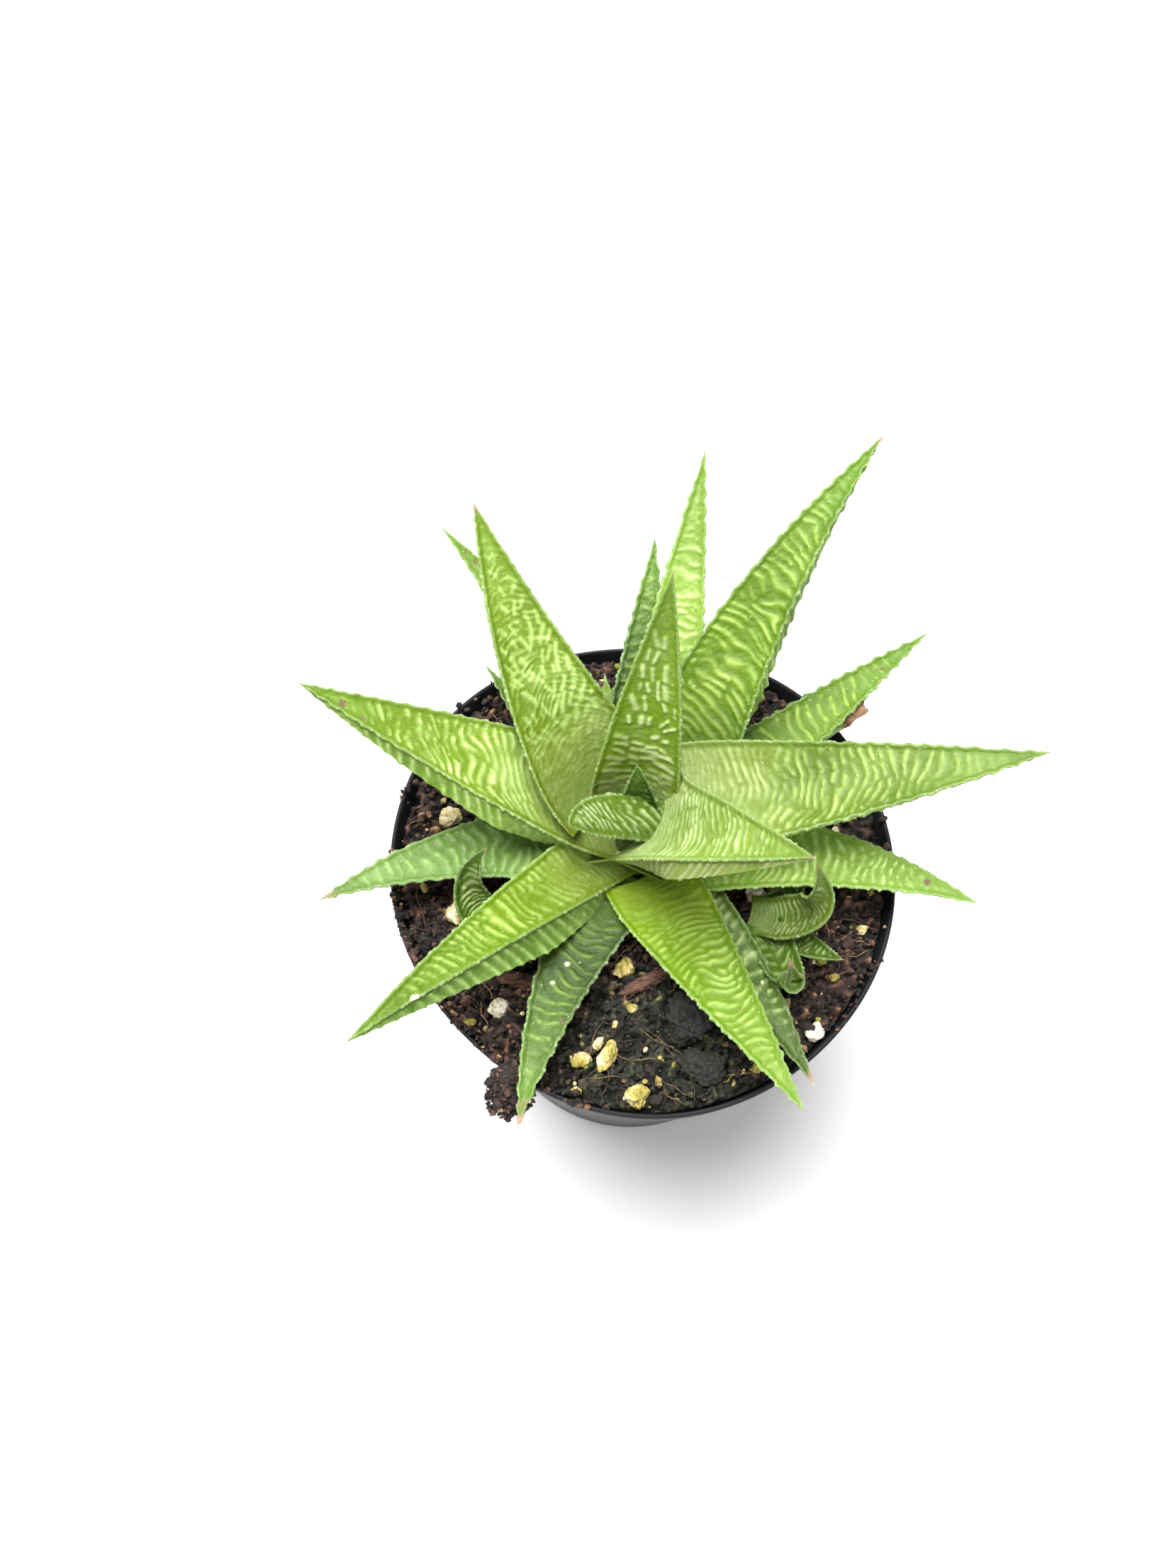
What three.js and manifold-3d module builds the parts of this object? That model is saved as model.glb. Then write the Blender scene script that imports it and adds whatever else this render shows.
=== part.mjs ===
// A haworthia with washboard leaves, growing with two offsets in a round nursery pot.
// Millimetres, +Z up. The origin is the middle of the pot's base, on the surface that it stands on.
import * as THREE from "three";
import Module from "manifold-3d";

const wasm = await Module();
wasm.setup();

// ---- Driving dimensions -------------------------------------------------------------------

const GAP = 0.3; // clearance that touching pieces keep
const SLIVER = 0.03; // detail smaller than this is tidied away after cutting
const WELD = 1e4; // corners that agree to a part in this many of a millimetre are one
const POT = {
  height: 88,
  rimRadius: 52.5, // outside of the band round the rim
  baseRadius: 36.5, // outside of the foot
  wall: 1,
  floor: 1.2,
  band: 9, // height of the band
  draft: 1.4, // how far the band leans in from the rim to its foot
  step: 0.7, // how far the band's foot stands out from the wall
  hubRadius: 17, // flat disc in the middle of the base
  footWidth: 4, // flat ring round the base
  channelRise: 2.6, // the floor between hub and foot is raised by this
  slope: 1.2, // how far the channel's sides lean
  bevel: 0.3, // on the rim's outer edge
  holes: 8,
  holeRadius: 2.8,
  sides: 48,
};
const DRILL = { length: 10, sides: 16 };
const SOIL = { level: POT.height - 2.6, mound: 1.2, moundReach: 20, relief: 0.7, rings: 7, sides: 40 };
const ROSETTE = { x: -1, y: 2 }; // where the stem stands, from the pot's axis
const STEM = { foot: 64, top: 103, taperFrom: 92, footRadius: 5, topRadius: 2.4, footBevel: 1.5, sides: 12 };
const ROOTS = {
  count: 6, reach: 26, foot: 24, uneven: 6, startRadius: 1.8, endRadius: 0.7, sides: 6, steps: 6,
};
const CROWN = { depth: 6, topRadius: 1.3, footBevel: 1.2, shoulder: 3, sides: 8 };
const RIM_GUARD_FOOT = 60; // leaves keep clear of the pot's wall from here up
const SUNK = 0.25; // share of a loose thing's height by which its middle is above the potting mix
const LEAF = { margin: 0.7, waist: 0.15, waistEnd: 0.2, steps: 11, offsetSteps: 8, crowding: 0.9 };

// Surface finishes: colour and roughness.
const FINISH = {
  pot: [0x2b2d2f, 0.55],
  soil: [0x2a1d16, 0.95],
  stem: [0x8a7a55, 0.8],
  bright: [0x86b53c, 0.45],
  green: [0x6f9f42, 0.5],
  dark: [0x51773e, 0.5],
  young: [0x5f9436, 0.5],
  stalk: [0xb08a6a, 0.8],
  perlite: [0xe6dcae, 0.85],
  bark: [0x5a3a28, 0.9],
  clod: [0x1c1a18, 0.95],
};

// Leaves of the main rosette, from the innermost outwards. Tip and root are bearing in degrees
// from +X, reach from the rosette's axis and height above the pot's base. arch and bend push the
// middle of the leaf up and sideways. cup raises the margins at the root and at the tip, as a
// share of the half width. keel is where the underside is deepest, from -1 at the left margin to
// 1 at the right one, looking outwards. roll leans the leaf about its length.
const LEAVES = [
  { name: "leaf_heart", tip: [95, 6.5, 116], root: [95, 1.2, 104], width: 6.6, thick: 2.4, cup: [0.4, 0.2] },
  { name: "leaf_young", tip: [-154.5, 14.9, 116], root: [-4, 5.9, 105], width: 8.6, thick: 4.4,
    cup: [-0.2, -0.15], roll: -14, push: [-4.6, 2.6, 2.4], taper: 4 },
  { name: "leaf_inner_north", tip: [80, 29, 146], root: [100, 4.5, 99], width: 18, thick: 3.6,
    cup: [0.7, 0.2] },
  { name: "leaf_inner_south_east", tip: [-47, 36.5, 148], root: [-60, 4.5, 103], width: 25, thick: 4.4,
    cup: [0.45, 0.3], keel: 0.9, roll: 4, taper: 1.2 },
  { name: "leaf_north_west", tip: [120.5, 63.5, 134], root: [125, 9.5, 97], width: 28, thick: 5,
    cup: [0.6, 0.1], keel: 0.95, bend: -3.5, taper: 1.2 },
  { name: "leaf_east", tip: [3.6, 75, 124], root: [60, 7, 94], width: 27, thick: 4.6,
    cup: [0.6, 0.1], keel: 0.8, bend: 0.5, arch: 2, taper: 1.4 },
  { name: "leaf_west", tip: [164, 66.5, 126], root: [145, 6, 94], width: 29, thick: 5,
    cup: [0.5, 0.1], keel: -0.98, bend: 0, roll: 6, taper: 1.3 },
  { name: "leaf_north_east", tip: [54.6, 83.5, 138], root: [35, 7, 93], width: 24, thick: 5.5,
    cup: [0.15, 0.12], keel: 0.95, bend: -9, taper: 1.3 },
  { name: "leaf_south_west", tip: [-138.5, 69, 112], root: [-125, 5, 91], width: 22, thick: 4.4,
    cup: [0.4, 0], keel: -0.86, bend: 1, arch: 3, roll: -8, taper: 1.35 },
  { name: "leaf_south", tip: [-63.5, 62.5, 104], root: [-76, 6, 90], width: 20, thick: 4.4,
    cup: [0.3, 0], arch: 3, taper: 1.25 },
  { name: "leaf_north", tip: [79, 75, 128], root: [70, 5, 91], width: 18, thick: 4, cup: [0.3, 0],
    tone: "green" },
  { name: "leaf_back_north_west", tip: [123.5, 74, 118], root: [130, 5, 90], width: 16, thick: 4,
    cup: [0.3, 0], bend: 10, tone: "green" },
  { name: "leaf_low_east", tip: [-13, 67.5, 99], root: [-10, 5, 90], width: 19, thick: 4,
    cup: [0.2, 0], keel: 0.5, bend: -8, arch: 4, taper: 1.6, tone: "green" },
  { name: "leaf_low_north_east", tip: [35.5, 77, 104], root: [30, 5, 90], width: 18, thick: 4,
    cup: [0.2, 0], bend: -1, tone: "green" },
  { name: "leaf_low_west", tip: [-168, 64.5, 96], root: [170, 5, 90], width: 18, thick: 4,
    cup: [0.2, 0], keel: -0.3, bend: 8, arch: 4, tone: "dark" },
  { name: "leaf_low_south_west", tip: [-112, 61, 92], root: [-115, 5, 89.5], width: 16, thick: 3.8,
    cup: [0.1, 0], bend: 6, arch: 4, tone: "dark" },
  { name: "leaf_low_south_east", tip: [-57, 58.5, 94], root: [-45, 5, 89.5], width: 16, thick: 3.8,
    cup: [0.1, 0], bend: -4, arch: 2, tone: "dark" },
  { name: "leaf_low_north", tip: [86, 64, 112], root: [105, 5, 89.5], width: 17, thick: 3.6,
    cup: [0.1, 0], tone: "dark" },
  { name: "leaf_low_north_west", tip: [126.5, 55, 92], root: [130, 5, 89], width: 12, thick: 3,
    cup: [0.1, 0], tone: "dark" },
  { name: "leaf_low_back", tip: [98.5, 42.5, 92], root: [110, 5, 89], width: 11, thick: 2.8,
    cup: [0.1, 0], tone: "bright" },
];

// Offsets. Their leaves are given from the offset's own axis, and push moves a leaf's middle.
const OFFSETS = [
  {
    name: "right_offset", x: 24.5, y: -12.5, footRadius: 3.4, top: 92,
    leaves: [
      { name: "hooked", tip: [26, 8, 110], root: [-20, 1, 89.5], width: 9.5, thick: 2.6, cup: [0.4, 0.2],
        push: [9, -5.5, -3], taper: 1.9 },
      { name: "curled", tip: [-81, 13, 103], root: [-95, 1.5, 89], width: 8, thick: 2.4, cup: [0.7, 0.3],
        push: [4, -15, -3], taper: 2.2 },
      { name: "low", tip: [-38, 17.5, 95.5], root: [-38, 2, 88.5], width: 7.5, thick: 2.4, cup: [0.4, 0.1],
        push: [1, -1.5, -1] },
      { name: "back", tip: [38, 11.5, 93], root: [50, 2, 88.5], width: 6.5, thick: 2, cup: [0.3, 0] },
    ],
  },
  {
    name: "left_offset", x: -30.5, y: -14, footRadius: 3, top: 91,
    leaves: [
      { name: "upright", tip: [90, 10.5, 104], root: [140, 1.5, 89], width: 8, thick: 2.4, cup: [0.7, 0.3],
        push: [-6, 1, -1], taper: 1.9 },
      { name: "front", tip: [-47, 12.8, 94], root: [-40, 1.5, 88.5], width: 7, thick: 2.2, cup: [0.5, 0.1] },
      { name: "low", tip: [-150, 10, 93], root: [-150, 1.5, 88.5], width: 6.5, thick: 2, cup: [0.4, 0.1] },
    ],
  },
];

// A cut flower stalk that lies out under the leaves: its two ends and its radius.
const STALK = { start: [7.5, 5, 90], end: [47.8, 32.4, 96.8], radius: 1, endRadius: 1.2, sides: 7 };

// Things lying on the potting mix: middle, and size along, across and up, with a turn in degrees.
const PERLITE = [
  { at: [-28.4, -30.2], size: [4.6, 3.6, 3.2], turn: 20 },
  { at: [23.4, -6.4], size: [3.4, 4, 3.6], turn: 70 },
  { at: [27.8, -6], size: [3.2, 2.6, 2.6], turn: 0 },
  { at: [-3.7, -21.9], size: [4.2, 3.8, 3.2], turn: 50 },
  { at: [-7.1, -39.4], size: [5.6, 3.2, 3], turn: 62 },
  { at: [-12.4, -40.2], size: [4.2, 3, 2.4], turn: 10 },
  { at: [-1.6, -47.2], size: [4.6, 4.2, 3.4], turn: 30 },
  { at: [-40.2, 11.5], size: [5, 3.4, 3], turn: 15 },
  { at: [-37.8, -10.7], size: [4, 3.4, 3], turn: 100 },
  { at: [33.2, -35.1], size: [3.8, 3.2, 2.6], turn: 40 },
];
const BARK = [
  { at: [1.2, -24.6], size: [10.8, 2.6, 1.8], turn: 27 },
  { at: [-24.6, -24.4], size: [9, 3.2, 1.6], turn: -12 },
];
const CLODS = [
  { at: [9.2, -31.8], size: [7.6, 9, 4.4], turn: 12 },
  { at: [11.2, -41.6], size: [7.4, 6.2, 3.6], turn: -20 },
];
const RIM_CLUMP = { at: [-25.4, -46.6], height: 88.5, size: [10, 8.4, 6.4], turn: 60 };

// ---- Closed meshes ------------------------------------------------------------------------

const rad = THREE.MathUtils.degToRad;

// Skins a row of rings, each a closed loop of the same number of points or a single point, and
// closes both ends with a strip from side to side. Gives the solid it encloses.
function loft(rings) {
  const points = [];
  const faces = [];
  const start = rings.map((ring) => {
    points.push(...ring);
    return points.length - ring.length;
  });
  const corner = (i, k) => start[i] + (k % rings[i].length);
  for (let i = 0; i + 1 < rings.length; i++) {
    const n = Math.max(rings[i].length, rings[i + 1].length);
    for (let k = 0; k < n; k++) {
      if (rings[i].length > 1) faces.push([corner(i, k), corner(i, k + 1), corner(i + 1, k)]);
      if (rings[i + 1].length > 1) faces.push([corner(i, k + 1), corner(i + 1, k + 1), corner(i + 1, k)]);
    }
  }
  const close = (i, first) => {
    let [low, high] = [0, rings[i].length - 1];
    while (high - low > 1) {
      const strip = [[low, low + 1, high]];
      low += 1;
      if (high - low > 1) strip.push([low, high - 1, high]);
      high -= 1;
      for (const corners of strip) {
        const face = corners.map((k) => corner(i, k));
        faces.push(first ? face.toReversed() : face);
      }
    }
  };
  close(0, true);
  close(rings.length - 1, false);
  return solid(points, faces);
}

function solid(points, faces) {
  const signedVolume = faces.reduce((sum, [a, b, c]) => {
    return sum + points[a].dot(points[b].clone().cross(points[c]));
  }, 0);
  const outward = signedVolume < 0 ? faces.map(([a, b, c]) => [a, c, b]) : faces;
  return new wasm.Manifold(
    new wasm.Mesh({
      numProp: 3,
      vertProperties: new Float32Array(points.flatMap((p) => p.toArray())),
      triVerts: new Uint32Array(outward.flat()),
    }),
  );
}

// A ring of points round +Z.
function circle(radius, z, sides) {
  if (radius === 0) return [new THREE.Vector3(0, 0, z)];
  return Array.from({ length: sides }, (_, k) => {
    const a = (2 * Math.PI * k) / sides;
    return new THREE.Vector3(radius * Math.cos(a), radius * Math.sin(a), z);
  });
}

function turned(profile, sides) {
  const points = profile.map(([radius, z]) => new THREE.Vector2(radius, z));
  return solidOf(new THREE.LatheGeometry(points, sides).rotateX(Math.PI / 2));
}

// A round bar along a curve, its radius changing evenly from one end to the other.
function bar(curve, startRadius, endRadius, steps, sides) {
  const rings = [];
  const across = new THREE.Vector3(0, 0, 1).cross(curve.getTangent(0)).normalize();
  if (across.lengthSq() === 0) across.set(1, 0, 0);
  for (let i = 0; i <= steps; i++) {
    const along = curve.getTangent(i / steps);
    const radius = THREE.MathUtils.lerp(startRadius, endRadius, i / steps);
    const up = along.clone().cross(across).normalize();
    const ring = circle(radius, 0, sides).map((p) => {
      return curve.getPoint(i / steps).addScaledVector(across, p.x).addScaledVector(up, p.y);
    });
    rings.push(ring);
  }
  return loft(rings);
}

// A lumpy stone: a sphere of flats, squashed to size, turned and moved to its place.
function lump({ at, size, turn }, z) {
  const stone = solidOf(new THREE.IcosahedronGeometry(0.5, 1), (p) => {
    const bump = 1 + 0.09 * Math.sin(7 * p.x + at[0]) + 0.09 * Math.cos(6 * p.y + 5 * p.z + at[1]);
    return p.multiplyScalar(bump).multiply(new THREE.Vector3(...size));
  });
  return stone.rotate([0, 0, turn]).translate([at[0], at[1], z]);
}

// Joins a closed geometry's equal corners, moves each by shape and gives the solid.
function solidOf(geometry, shape = (p) => p) {
  const loose = geometry.index ? geometry.toNonIndexed() : geometry;
  const points = [];
  const seen = new Map();
  const corners = [];
  for (let i = 0; i < loose.attributes.position.count; i++) {
    const p = new THREE.Vector3().fromBufferAttribute(loose.attributes.position, i);
    const key = p.toArray().map((v) => Math.round(v * WELD)).join();
    if (!seen.has(key)) {
      seen.set(key, points.length);
      points.push(shape(p));
    }
    corners.push(seen.get(key));
  }
  const faces = [];
  for (let i = 0; i < corners.length; i += 3) {
    const face = corners.slice(i, i + 3);
    if (new Set(face).size === 3) faces.push(face);
  }
  return solid(points, faces);
}

// ---- The object's pieces ------------------------------------------------------------------

const group = new THREE.Group();
const settled = []; // what later pieces keep clear of, each with its clearance added

// Cuts a piece clear of those already settled, keeps its largest body and names it.
function settle(name, body, finish, clearance) {
  let left = body;
  for (const other of settled) {
    if (!apart(body.boundingBox(), other.boundingBox())) left = left.subtract(other);
  }
  const mesh = largestOf(largestOf(left).simplify(SLIVER)).getMesh();
  const geometry = new THREE.BufferGeometry();
  geometry.setAttribute("position", new THREE.BufferAttribute(mesh.vertProperties, 3));
  geometry.setIndex(new THREE.BufferAttribute(mesh.triVerts, 1));
  geometry.computeVertexNormals();
  const [color, roughness] = FINISH[finish];
  const material = new THREE.MeshStandardMaterial({ color, roughness, metalness: 0 });
  const piece = new THREE.Mesh(geometry, material);
  piece.name = name;
  group.add(piece);
  if (clearance) settled.push(clearance);
}

function largestOf(body) {
  return body.decompose().sort((a, b) => b.volume() - a.volume())[0];
}

function apart(a, b) {
  return [0, 1, 2].some((k) => a.max[k] < b.min[k] || b.max[k] < a.min[k]);
}

// The pot's inner surface from its middle outwards and up, moved inwards by a clearance.
function potInside(clearance) {
  const foot = POT.baseRadius - POT.footWidth;
  const raised = POT.floor + POT.channelRise + clearance;
  const low = POT.floor + clearance;
  const wall = POT.wall + clearance;
  const lean = POT.slope / 2;
  return [
    [0, low],
    [POT.hubRadius - lean - clearance, low],
    [POT.hubRadius + lean - clearance, raised],
    [foot - lean + clearance, raised],
    [foot + lean + clearance, low],
    [POT.baseRadius - wall, low],
    [POT.rimRadius - POT.draft - POT.step - wall, POT.height - POT.band + clearance],
    [POT.rimRadius - POT.draft - wall, POT.height - POT.band + POT.step + clearance],
  ];
}

function potSolid() {
  const foot = POT.baseRadius - POT.footWidth;
  const band = POT.height - POT.band;
  const outside = [
    [0, 0],
    [POT.hubRadius, 0],
    [POT.hubRadius + POT.slope, POT.channelRise],
    [foot - POT.slope, POT.channelRise],
    [foot, 0],
    [POT.baseRadius, 0],
    [POT.rimRadius - POT.draft - POT.step, band],
    [POT.rimRadius - POT.draft, band],
    [POT.rimRadius, POT.height - POT.bevel],
    [POT.rimRadius - POT.bevel, POT.height],
    [POT.rimRadius - POT.wall, POT.height],
  ];
  const drill = new THREE.CylinderGeometry(POT.holeRadius, POT.holeRadius, DRILL.length, DRILL.sides);
  const drain = solidOf(drill.rotateX(Math.PI / 2));
  const reach = (POT.hubRadius + foot) / 2;
  const drains = Array.from({ length: POT.holes }, (_, k) => {
    const a = (2 * Math.PI * (k + 0.5)) / POT.holes;
    return drain.translate([reach * Math.cos(a), reach * Math.sin(a), POT.channelRise]);
  });
  return turned([...outside, ...potInside(0).toReversed()], POT.sides).subtract(wasm.Manifold.union(drains));
}

// Height of the potting mix at a point.
function soilTop(x, y) {
  const reach = Math.hypot(x - ROSETTE.x, y - ROSETTE.y);
  const mound = SOIL.mound * Math.exp(-((reach / SOIL.moundReach) ** 2));
  const waves = Math.sin(0.23 * x + 1.1) * Math.cos(0.19 * y) + 0.6 * Math.sin(0.41 * y - 0.33 * x);
  return SOIL.level + mound + SOIL.relief * waves;
}

function soilSolid(lift = 0) {
  const inside = potInside(GAP);
  const rings = inside.map(([radius, z]) => circle(radius, z, SOIL.sides));
  const edge = inside.at(-1)[0] + POT.draft / 2;
  for (let i = SOIL.rings; i >= 0; i--) {
    const ring = circle((edge * i) / SOIL.rings, 0, SOIL.sides);
    ring.forEach((p) => (p.z = soilTop(p.x, p.y) + lift));
    rings.push(ring);
  }
  return loft(rings);
}

function stemSolid(grow) {
  const { foot, top, taperFrom, footRadius, topRadius, footBevel, sides } = STEM;
  const trunk = turned(
    [
      [0, foot - grow],
      [footRadius - footBevel + grow, foot - grow],
      [footRadius + grow, foot + 2 * footBevel],
      [footRadius + grow, taperFrom],
      [topRadius + grow, top + grow],
      [0, top + grow],
    ],
    sides,
  ).translate([ROSETTE.x, ROSETTE.y, 0]);
  const roots = Array.from({ length: ROOTS.count }, (_, k) => {
    const a = (2 * Math.PI * k) / ROOTS.count + 0.4 * Math.sin(3 * k);
    const away = (reach, z) => {
      return new THREE.Vector3(ROSETTE.x + reach * Math.cos(a), ROSETTE.y + reach * Math.sin(a), z);
    };
    const end = ROOTS.foot + ROOTS.uneven * Math.sin(2.1 * k);
    const curve = new THREE.QuadraticBezierCurve3(
      away(2, foot + 4),
      away(0.8 * ROOTS.reach, foot - 4),
      away(ROOTS.reach, end),
    );
    return bar(curve, ROOTS.startRadius + grow, ROOTS.endRadius + grow, ROOTS.steps, ROOTS.sides);
  });
  return wasm.Manifold.union([trunk, ...roots]);
}

function crownSolid(offset, grow) {
  const foot = soilTop(offset.x, offset.y) - CROWN.depth;
  const crown = turned(
    [
      [0, foot - grow],
      [offset.footRadius - CROWN.footBevel + grow, foot - grow],
      [offset.footRadius + grow, foot + CROWN.shoulder],
      [CROWN.topRadius + grow, offset.top + grow],
      [0, offset.top + grow],
    ],
    CROWN.sides,
  );
  return crown.translate([offset.x, offset.y, 0]);
}

// ---- Leaves -------------------------------------------------------------------------------

function polar(centre, [bearing, reach, height]) {
  const a = rad(bearing);
  return new THREE.Vector3(centre.x + reach * Math.cos(a), centre.y + reach * Math.sin(a), height);
}

// The leaf's middle line, from its root on the stem to its tip.
function spineOf(leaf, centre) {
  const root = polar(centre, leaf.root);
  const tip = polar(centre, leaf.tip);
  const right = tip.clone().sub(root).cross(new THREE.Vector3(0, 0, 1)).normalize();
  const middle = root.clone().add(tip).multiplyScalar(0.5);
  middle.addScaledVector(right, leaf.bend ?? 0);
  middle.add(new THREE.Vector3(...(leaf.push ?? [0, 0, leaf.arch ?? 0])));
  return new THREE.QuadraticBezierCurve3(root, middle, tip);
}

// One cross-section: the upper face from the left margin to the right one, then the underside
// from the right margin down to the keel and back up to the left margin.
function leafRing(leaf, spine, t, grow) {
  const at = spine.getPoint(t);
  const along = spine.getTangent(t);
  const right = along.clone().cross(new THREE.Vector3(0, 0, 1)).normalize();
  const up = right.clone().cross(along).normalize();
  right.applyAxisAngle(along, rad(leaf.roll ?? 0));
  up.applyAxisAngle(along, rad(leaf.roll ?? 0));
  const waist = 1 - LEAF.waist * Math.max(0, 1 - t / LEAF.waistEnd) ** 2;
  const half = (leaf.width / 2) * waist * (1 - t ** (leaf.taper ?? 1.45)) + grow;
  const thick = leaf.thick * (1 - t ** 1.9) + 2 * grow;
  const margin = Math.min(LEAF.margin, 0.3 * thick) + 2 * grow;
  const cup = THREE.MathUtils.lerp(leaf.cup[0], leaf.cup[1], Math.sqrt(t));
  const keel = (leaf.keel ?? 0) * Math.min(1, 0.3 + 2 * t);
  const point = (v, depth) => {
    const height = cup * half * Math.min(1, v * v) + grow - depth;
    return at.clone().addScaledVector(right, v * half).addScaledVector(up, height);
  };
  const below = (from, s) => {
    const v = THREE.MathUtils.lerp(from, keel, s);
    const swell = 1 - (1 - s) ** (1 + 0.5 * Math.min(1, Math.abs(keel - from)));
    return point(v, THREE.MathUtils.lerp(margin, thick, swell));
  };
  return [
    ...[-1, -0.5, 0, 0.5, 1].map((v) => point(v, 0)),
    below(1, 0), below(1, 0.5), below(1, 1), below(-1, 0.5), below(-1, 0),
  ];
}

function leafSolid(leaf, centre, grow = 0, steps = LEAF.steps) {
  const spine = spineOf(leaf, centre);
  const rings = [];
  for (let i = 0; i < steps; i++) {
    rings.push(leafRing(leaf, spine, (i / steps) ** LEAF.crowding, grow));
  }
  rings.push([spine.getPoint(1).addScaledVector(spine.getTangent(1), grow)]);
  return loft(rings);
}

// ---- Putting it together ------------------------------------------------------------------

settle("nursery_pot", potSolid(), "pot");
settle("stem_and_roots", stemSolid(0), "stem");
settled.push(stemSolid(GAP));
for (const offset of OFFSETS) {
  settle(`${offset.name}_crown`, crownSolid(offset, 0), "stem");
  settled.push(crownSolid(offset, GAP));
}
settle("potting_mix", soilSolid(), "soil", soilSolid(GAP));

const guardRadius = POT.rimRadius - POT.wall - GAP;
const rimGuard = turned(
  [
    [guardRadius - POT.draft, RIM_GUARD_FOOT],
    [POT.rimRadius + GAP, RIM_GUARD_FOOT],
    [POT.rimRadius + GAP, POT.height + GAP],
    [guardRadius, POT.height + GAP],
    [guardRadius - POT.draft, POT.height - POT.band],
    [guardRadius - POT.draft, RIM_GUARD_FOOT],
  ],
  POT.sides,
);
settled.push(rimGuard);

for (const leaf of LEAVES) {
  if (leaf.name === "leaf_low_north_east") {
    const line = new THREE.LineCurve3(new THREE.Vector3(...STALK.start), new THREE.Vector3(...STALK.end));
    const stalk = (grow) => bar(line, STALK.radius + grow, STALK.endRadius + grow, 4, STALK.sides);
    settle("flower_stalk", stalk(0), "stalk", stalk(GAP));
  }
  settle(leaf.name, leafSolid(leaf, ROSETTE), leaf.tone ?? "bright", leafSolid(leaf, ROSETTE, GAP));
}
for (const offset of OFFSETS) {
  for (const leaf of offset.leaves) {
    const name = `${offset.name}_${leaf.name}_leaf`;
    const body = (grow) => leafSolid(leaf, offset, grow, LEAF.offsetSteps);
    settle(name, body(0), "young", body(GAP));
  }
}

const onSoil = (thing) => soilTop(...thing.at) + SUNK * thing.size[2];
const grown = (thing) => ({ ...thing, size: thing.size.map((v) => v + 2 * GAP) });
const loose = [
  ...PERLITE.map((thing, i) => [`perlite_${i + 1}`, thing, "perlite"]),
  ...BARK.map((thing, i) => [`bark_chip_${i + 1}`, thing, "bark"]),
  ...CLODS.map((thing, i) => [`clod_${i + 1}`, thing, "clod"]),
];
for (const [name, thing, finish] of loose) {
  settle(name, lump(thing, onSoil(thing)), finish, lump(grown(thing), onSoil(thing)));
}
settle("rim_clump", lump(RIM_CLUMP, RIM_CLUMP.height), "soil");

export default group;
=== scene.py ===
"""A live haworthia with ridged leaves and two offsets, growing in a thin round nursery pot."""

import logging
import math
from dataclasses import dataclass, replace
from enum import Enum

import bpy
import numpy as np
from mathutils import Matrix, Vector


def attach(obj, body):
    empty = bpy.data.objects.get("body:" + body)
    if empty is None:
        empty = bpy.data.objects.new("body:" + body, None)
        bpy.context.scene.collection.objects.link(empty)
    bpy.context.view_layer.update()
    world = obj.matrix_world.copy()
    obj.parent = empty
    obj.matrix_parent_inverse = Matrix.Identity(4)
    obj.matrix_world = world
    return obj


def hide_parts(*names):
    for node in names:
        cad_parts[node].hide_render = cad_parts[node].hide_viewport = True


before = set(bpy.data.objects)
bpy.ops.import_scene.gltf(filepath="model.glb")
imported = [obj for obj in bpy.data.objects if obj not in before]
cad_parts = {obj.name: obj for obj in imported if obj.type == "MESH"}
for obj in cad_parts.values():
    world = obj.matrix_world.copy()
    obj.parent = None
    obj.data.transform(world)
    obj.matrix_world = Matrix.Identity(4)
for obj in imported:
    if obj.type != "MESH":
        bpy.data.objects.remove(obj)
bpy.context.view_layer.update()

LOG = logging.getLogger("potted_haworthia")
MM = 0.001
Pair = tuple[float, float]
Triple = tuple[float, float, float]
Input = float | tuple[float, ...] | bpy.types.NodeSocket

# Where the rosette and its two offsets stand, in millimetres like all that follows.
MAIN_AXIS: Pair = (-1.0, 2.0)
RIGHT_AXIS: Pair = (24.5, -12.5)
LEFT_AXIS: Pair = (-30.5, -14.0)

# The size of a leaf's faces, and of those of a leaf shorter than SMALL_SPAN.
MESH_STEP = 0.32
SMALL_MESH_STEP = 0.2
SMALL_SPAN = 30

# How far apart the rows of short marks on a leaf are.
DASH_ROWS = 1.75


# ---- Helpers --------------------------------------------------------------------------------


def linear(hue: str) -> tuple[float, ...]:
    """Gives a colour as a shader wants it.

    Args:
        hue: The colour as six hexadecimal digits.

    Returns:
        Red, green, blue and alpha, in linear light.
    """
    parts = [int(hue[i : i + 2], 16) / 255 for i in (0, 2, 4)]
    light = [p / 12.92 if p <= 0.04045 else ((p + 0.055) / 1.055) ** 2.4 for p in parts]
    return (*light, 1.0)


def smoothstep(low: float, high: float, value: np.ndarray) -> np.ndarray:
    """Rises smoothly from 0 at low to 1 at high."""
    share = np.clip((value - low) / (high - low), 0, 1)
    return share * share * (3 - 2 * share)


def unit(vectors: np.ndarray) -> np.ndarray:
    """Scales each vector along the last axis to length 1."""
    return vectors / np.maximum(np.linalg.norm(vectors, axis=-1, keepdims=True), 1e-12)


def polar(centre: Pair, spot: Triple) -> np.ndarray:
    """Turns bearing in degrees, reach from a centre and height into a point."""
    angle = math.radians(spot[0])
    x = centre[0] + spot[1] * math.cos(angle)
    return np.array([x, centre[1] + spot[1] * math.sin(angle), spot[2]])


def deselect() -> None:
    """Leaves edit mode and deselects every object."""
    if bpy.context.object and bpy.context.object.mode != "OBJECT":
        bpy.ops.object.mode_set(mode="OBJECT")
    bpy.ops.object.select_all(action="DESELECT")


def pick(piece: bpy.types.Object) -> None:
    """Selects one object and makes it the active one."""
    deselect()
    piece.select_set(True)
    bpy.context.view_layer.objects.active = piece


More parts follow.
